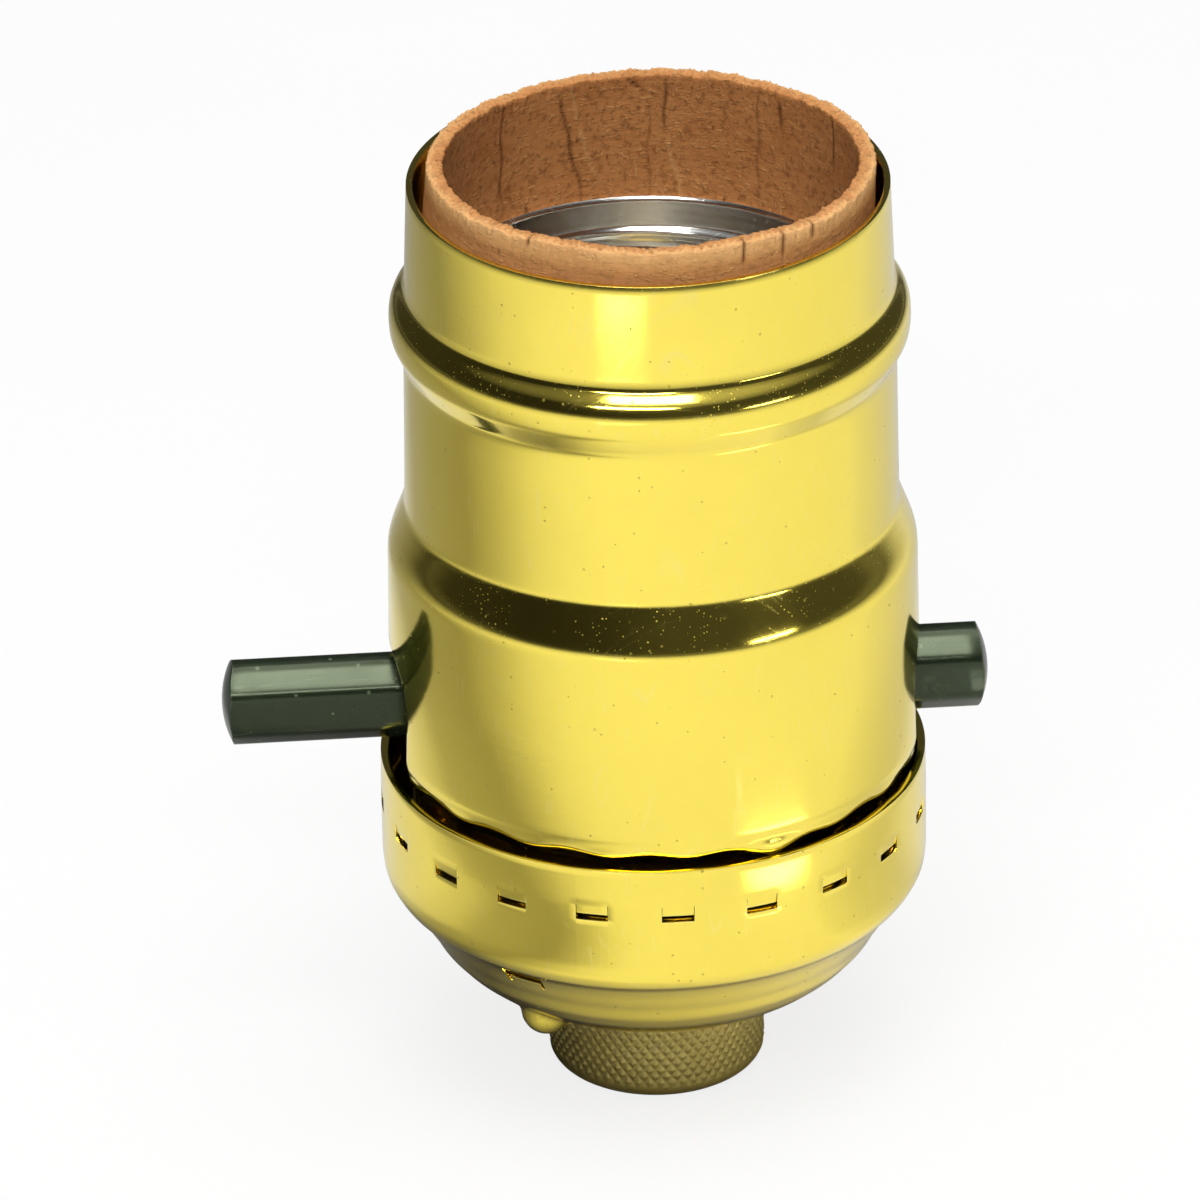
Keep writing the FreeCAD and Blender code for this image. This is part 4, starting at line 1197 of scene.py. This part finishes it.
@dataclass
class PushBar:
    """The eight-sided push bar with domed ends, its arm slot and detent groove."""

    start: float = -27.5
    end: float = 21.5
    centre_z: float = 27.05
    half_depth: float = 2.05
    half_height: float = 2.85
    chamfer: float = 1.45
    dome: float = 6.0
    arm_slot: tuple[float, float, float] = (-8.1, 2.1, 28.7)
    groove: Pair = (0.7, 9.3)

    def section(self) -> np.ndarray:
        """The octagon as (y, z) offsets, anticlockwise seen from +X, its corners a little rounded."""
        d, h, c = self.half_depth, self.half_height, self.chamfer
        corners = [(d, c - h), (d, h - c), (d - c, h), (c - d, h),
                   (-d, h - c), (-d, c - h), (c - d, -h), (d - c, -h)]
        middle = tuple((a + b) / 2 for a, b in zip(corners[0], corners[-1]))
        return softened([middle] + corners + [middle], 0.10, 0.32)[:-1]

    def patch(self) -> Patch:
        """The bar's skin: out over one domed end, along the sides, and in over the other end.

        On an end the x of a point is where a ball of the dome's radius, centred on the bar's axis,
        has that distance from the axis.
        """
        outline = self.section()
        out = np.concatenate([[0.0], np.linspace(0.18, 1.0, 9)])[:, None]
        reach = np.hypot(outline[:, 0], outline[:, 1])[None, :]
        sag = self.dome - np.sqrt(self.dome ** 2 - (out * reach) ** 2)
        across, up = out * outline[:, 0], out * outline[:, 1]
        left, right = (np.stack(np.broadcast_arrays(x, across, up), axis=-1)
                       for x in (self.start + sag, self.end - sag))
        share = np.linspace(0.0, 1.0, 50)[1:-1][:, None, None]
        sides = left[-1][None] * (1 - share) + right[-1][None] * share
        points = np.concatenate([left, sides, right[::-1]])
        points[..., 2] += self.centre_z
        return Patch(points, closed=True)

    def cutters(self) -> list[bpy.types.Object]:
        """The arm's slot in the underside and the detent groove in the front side."""
        left, right, roof = self.arm_slot
        slot = box_cutter((left, -0.8, self.centre_z - self.half_height - 1.0), (right, 0.8, roof))
        left, right = self.groove
        groove = box_cutter((left, -self.half_depth - 1.0, self.centre_z - 1.25),
                            (right, -self.half_depth + 0.8, self.centre_z + 1.25))
        return [slot, groove]

    def build(self, material: bpy.types.Material) -> None:
        """Makes the bar and dresses it."""
        bar = make_object("push_bar_moulded", [self.patch()])
        cut_away(bar, self.cutters())
        round_edges(bar, 0.14, 35.0)
        dress(bar, Body.BAR, "push_bar", material)


@dataclass
class InnerParts:
    """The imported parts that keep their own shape: switch block, strips, screws, contacts and springs."""

    effects: Effects

    def build(self) -> None:
        """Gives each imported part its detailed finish."""
        phenolic = Moulding("phenolic_block", (0.022, 0.018, 0.016), (0.035, 0.028, 0.023),
                            (0.16, 0.13, 0.10), 0.42, 0.012, 0.08)
        fibre = Moulding("fibre_ring", (0.055, 0.050, 0.045), (0.09, 0.08, 0.07), (0.2, 0.17, 0.14), 0.7,
                         0.03, 0.2)
        strip = Metal("strip_brass", (0.80, 0.60, 0.20), (0.62, 0.44, 0.14), (0.95, 0.80, 0.40), 0.3)
        rivet = Metal("rivet_brass_dull", (0.70, 0.52, 0.18), (0.50, 0.36, 0.12), (0.92, 0.76, 0.36), 0.34)
        screw = Metal("screw_brass_bright", (0.84, 0.65, 0.22), (0.70, 0.50, 0.16), (0.98, 0.85, 0.45), 0.24)
        nickel = Metal("nickel_plate", (0.66, 0.65, 0.62), (0.52, 0.51, 0.49), (0.85, 0.84, 0.80), 0.22)
        silver = Metal("contact_silver_face", (0.78, 0.77, 0.74), (0.60, 0.59, 0.56), (0.92, 0.91, 0.88), 0.3)
        zinc = Metal("zinc_steel", (0.48, 0.49, 0.51), (0.36, 0.37, 0.40), (0.70, 0.70, 0.72), 0.32)
        blued = Metal("blued_spring", (0.14, 0.16, 0.20), (0.20, 0.17, 0.14), (0.45, 0.46, 0.5), 0.28)
        wanted = {
            phenolic: ("switch_base", "switch_cover"),
            fibre: ("cap_insulator",),
            strip: ("centre_contact", "hot_terminal", "neutral_terminal", "contact_arm"),
            rivet: ("shell_rivets",),
            screw: ("brass_terminal_screw",),
            nickel: ("silver_terminal_screw",),
            silver: ("fixed_contact", "moving_contact"),
            zinc: ("set_screw", "assembly_screws", "pivot_pin", "drive_pin"),
            blued: ("detent_spring",)}
        for finish, nodes in wanted.items():
            material = finish.build(self.effects)
            for node in nodes:
                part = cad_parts[node]
                part.data.materials.clear()
                part.data.materials.append(material)
                LOG.info("%s: finished with %s", node, material.name)


# Studio


@dataclass
class Studio:
    """Camera, floor, world and lamps.

    The camera's lengths are in millimetres. The floor's lengths are in metres, and its ramps, which paint
    shade on it for the object, and the sky's give levels by bearing in degrees, by a share of the distance or
    by a share of the height.
    """

    focal_pixels: float = 12556.32
    frame_pixels: float = 1200.0
    distance: float = 800.0
    target: tuple[float, float, float] = (0.0, 0.0, 30.0)
    azimuth: float = math.radians(-4.5)
    elevation: float = math.radians(27.6194)
    roll: float = math.radians(-0.8881)
    offset: Pair = (3.2837, -2.5031)
    floor_edge: float = 700.0
    floor_white: float = 0.82
    pool_spread: float = 12.0
    pool_height: float = 0.02
    # lean, near, far, the ramp by bearing, narrowing and middle shape the floor's painted shade, as the
    # object sees it
    lean: float = 0.45
    near: tuple[float, float, float, float] = (0.005, 0.021, 0.30, 1.0)
    far: tuple[float, float, float, float] = (0.16, 0.45, 1.0, 0.12)
    floor_shade_by_bearing: Pairs = (
        (-180.0, 0.85), (-150.0, 0.62), (-133.0, 0.42), (-106.0, 0.36), (-85.0, 0.31), (-66.0, 0.56),
        (-50.0, 0.84), (-36.0, 0.96), (-20.0, 1.0), (85.0, 1.0), (95.0, 0.90), (122.0, 0.75), (150.0, 0.70),
        (180.0, 0.85))
    narrowing: Pairs = (
        (0.0, 0.5), (0.10, 0.5), (0.15, 0.6), (0.245, 0.95), (0.285, 0.725), (0.385, 0.5), (0.565, 0.44),
        (0.8, 0.35))
    narrowing_reach: float = 0.2
    middle: float = 0.3
    sky: Pairs = (
        (-180.0, 1.0), (-150.0, 0.7), (-60.0, 0.35), (-22.0, 0.5), (4.0, 1.0), (180.0, 1.0))
    sky_rise: Pairs = (
        (0.0, 0.3), (0.48, 0.2), (0.505, 0.06), (0.68, 0.05), (0.77, 0.45), (1.0, 0.7))

    def camera(self) -> None:
        """Places the camera: a long lens that looks down at the object, slightly rolled."""
        a, e = self.azimuth, self.elevation
        ahead = np.array([-math.sin(a) * math.cos(e), math.cos(a) * math.cos(e), -math.sin(e)])
        right = np.array([math.cos(a), math.sin(a), 0.0])
        above = np.cross(right, ahead)
        c, s = math.cos(self.roll), math.sin(self.roll)
        across, up = c * right + s * above, c * above - s * right
        spot = np.array(self.target) - self.distance * ahead - self.offset[0] * across - self.offset[1] * up
        data = bpy.data.cameras.new("camera")
        data.sensor_width = 36.0
        data.lens = self.focal_pixels / self.frame_pixels * data.sensor_width
        data.clip_start, data.clip_end = 0.05, 20.0
        camera = linked("camera", data)
        turned = Matrix(np.stack([across, up, -ahead], axis=1).tolist()).to_4x4()
        camera.matrix_world = Matrix.Translation(Vector(spot * MM)) @ turned
        bpy.context.scene.camera = camera

    @staticmethod
    def area(name: str, shape: str, size: Pair, power: float) -> bpy.types.Object:
        """An area lamp, linked but not yet placed.

        Args:
            name: Name of the lamp.
            shape: Blender's name of its shape.
            size: Its width and height in metres.
            power: Watts.

        Returns:
            The lamp.
        """
        data = bpy.data.lights.new(name, "AREA")
        data.shape = shape
        data.size, data.size_y = size
        data.energy = power
        return linked(name, data)

    def lamp(self, name: str, bearing: float, height: float, distance: float, size: Pair,
             power: float) -> None:
        """A soft rectangular lamp that faces the middle of the object.

        Args:
            name: Name of the lamp.
            bearing: Angle from the camera's side, in degrees, positive to the right.
            height: Elevation above the floor in degrees.
            distance: Metres from the object.
            size: Width and height of the lamp in metres.
            power: Watts.
        """
        lamp = self.area(name, "RECTANGLE", size, power)
        a, e = math.radians(bearing) + self.azimuth, math.radians(height)
        way = Vector((math.sin(a) * math.cos(e), -math.cos(a) * math.cos(e), math.sin(e)))
        lamp.location = way * distance + Vector(self.target) * MM
        lamp.rotation_euler = way.to_track_quat("Z", "Y").to_euler()

    def pool(self, name: str, spot: Pair, size: Pair, power: float) -> None:
        """A low lamp that lays a small soft patch of light on the floor, for a highlight in the brass.

        Args:
            name: Name of the lamp.
            spot: Place of the patch's middle, x and y in metres.
            size: Width across the line from the object, and depth along it, in metres.
            power: Watts.
        """
        lamp = self.area(name, "ELLIPSE", size, power)
        lamp.data.spread = math.radians(self.pool_spread)
        lamp.location = (*spot, self.pool_height)
        lamp.rotation_euler = (0.0, 0.0, math.atan2(spot[0], -spot[1]))
        lamp.visible_camera = False

    def floor(self) -> None:
        """A wide pale floor, its far edge too far to be seen.

        The camera sees it nearly white. To the object it carries painted shade: a painted shadow under and
        near the object, darker again far off, and painted shade that changes with the bearing, darkest to the
        left.
        The distance is counted a little longer on one side, and the ramp by bearing narrows about its middle
        by an amount that depends on the distance.
        """
        row = np.linspace(-self.floor_edge, self.floor_edge, 3)
        points = np.stack(np.broadcast_arrays(row[None, :], row[::-1][:, None], 0.0), axis=-1)
        floor = make_object("floor", [Patch(points)])
        graph, shader = new_material("pale_floor")
        place = graph.place()
        clouds = graph.spread(graph.noise(place, 30.0, 4.0), 0.3, 0.7)
        pale = graph.blend(clouds, (0.80, 0.80, 0.80), (0.84, 0.84, 0.84))
        x, y, _ = graph.parts(place)
        distance = graph.calc("SQRT", graph.plus(graph.times(x, x), graph.times(y, y)))
        # Painted shadow: to the object the floor darkens under and near it, and again far off
        reach = graph.plus(distance, graph.times(x, self.lean))
        level = graph.times(graph.spread(reach, *self.near), graph.spread(distance, *self.far))
        # Painted shade by bearing, darkest to the left
        share = graph.spread(distance, 0.0, self.narrowing_reach)
        narrow = graph.times(graph.ramp(share, self.narrowing), 2.0)
        turned = graph.times(graph.calc("SUBTRACT", graph.bearing(x, y), self.middle), narrow)
        shade_round_about = graph.ramp_round(graph.plus(turned, self.middle), self.floor_shade_by_bearing)
        # The floor's painted shade, which the camera does not see
        floor_painted_shade = graph.blend(level, (0.0, 0.0, 0.0), (0.8, 0.8, 0.8))
        floor_painted_shade = graph.blend(1.0, floor_painted_shade, shade_round_about, "MULTIPLY")
        to_camera = graph.node("ShaderNodeLightPath").outputs["Is Camera Ray"]
        graph.feed(shader.inputs["Base Color"], graph.blend(to_camera, floor_painted_shade, pale))
        shader.inputs["Roughness"].default_value = 0.9
        glow = graph.node("ShaderNodeEmission")
        graph.feed(glow.inputs["Color"], (1.0, 1.0, 1.0))
        mix = graph.node("ShaderNodeMixShader")
        graph.feed(mix.inputs[0], graph.times(to_camera, self.floor_white))
        graph.feed(mix.inputs[1], shader.outputs["BSDF"])
        graph.feed(mix.inputs[2], glow.outputs["Emission"])
        graph.feed(graph.tree.nodes["Material Output"].inputs["Surface"], mix.outputs["Shader"])
        floor.data.materials.append(bpy.data.materials["pale_floor"])

    def world(self) -> None:
        """White to the camera; to the object a dim room that brightens overhead and by bearing."""
        world = bpy.data.worlds.new("studio")
        world.use_nodes = True
        bpy.context.scene.world = world
        graph = Graph(world.node_tree)
        x, y, z = graph.parts(graph.node("ShaderNodeTexCoord").outputs["Generated"])
        height = graph.spread(graph.calc("ARCSINE", z), -math.pi / 2, math.pi / 2)
        side = graph.ramp_round(graph.bearing(x, y), self.sky)
        room = graph.blend(1.0, graph.ramp(height, self.sky_rise), side, "MULTIPLY")
        to_camera = graph.node("ShaderNodeLightPath").outputs["Is Camera Ray"]
        graph.feed(world.node_tree.nodes["Background"].inputs["Color"],
                   graph.blend(to_camera, room, (1.0, 1.0, 1.0)))

    def build(self) -> None:
        """Sets up the camera, the floor and the light."""
        self.camera()
        self.floor()
        self.world()
        self.lamp("overhead", 20.0, 86.0, 0.9, (0.8, 0.8), 5.2)
        self.lamp("top", 0.0, 61.0, 0.9, (0.45, 0.3), 3.2)
        self.lamp("front", -8.0, 37.0, 0.8, (0.42, 0.06), 1.8)
        self.lamp("side", 50.0, 2.6, 0.8, (0.26, 0.03), 0.32)
        self.pool("pool_front", (-0.050, -0.158), (0.070, 0.005), 0.012)
        self.pool("pool_side", (0.0378, -0.0442), (0.028, 0.003), 0.0036)
        bpy.context.scene.view_settings.view_transform = "Standard"


def main() -> None:
    """Builds the studio and the pieces in order."""
    logging.basicConfig(level=logging.INFO, format="%(name)s %(message)s")
    Studio().build()
    effects = Effects()
    OuterShell().build(Brass("brass_shell_bright").build(effects))
    Cap().build(Brass("brass_cap_bright", stain_share=0.45, speck_share=0.06).build(effects))
    hub = Brass("brass_hub_knurled", (0.58, 0.47, 0.155), (0.44, 0.355, 0.115), (0.2, 0.15, 0.05),
                roughness=0.34, stain_share=0.6, speck_share=0.1, scratch=0.3, dust_share=0.3, coat=0.0)
    Hub().build(hub.build(effects))
    Liner().build(Board("liner_brown_board").build(effects))
    silver = Metal("screw_shell_silver", (0.82, 0.81, 0.76), (0.62, 0.61, 0.56), (0.98, 0.98, 0.96), 0.15,
                   (60.0, 60.0, 2600.0), 0.003)
    ScrewShell().build(silver.build(effects))
    bar = Moulding("bar_dark_green", (0.008, 0.013, 0.007), (0.014, 0.021, 0.011), (0.20, 0.25, 0.15),
                   0.2, 0.004, 0.16, 0.5, (0.84, 1.0, 0.66))
    PushBar().build(bar.build(effects))
    InnerParts(effects).build()


if __name__ == "__main__":
    main()
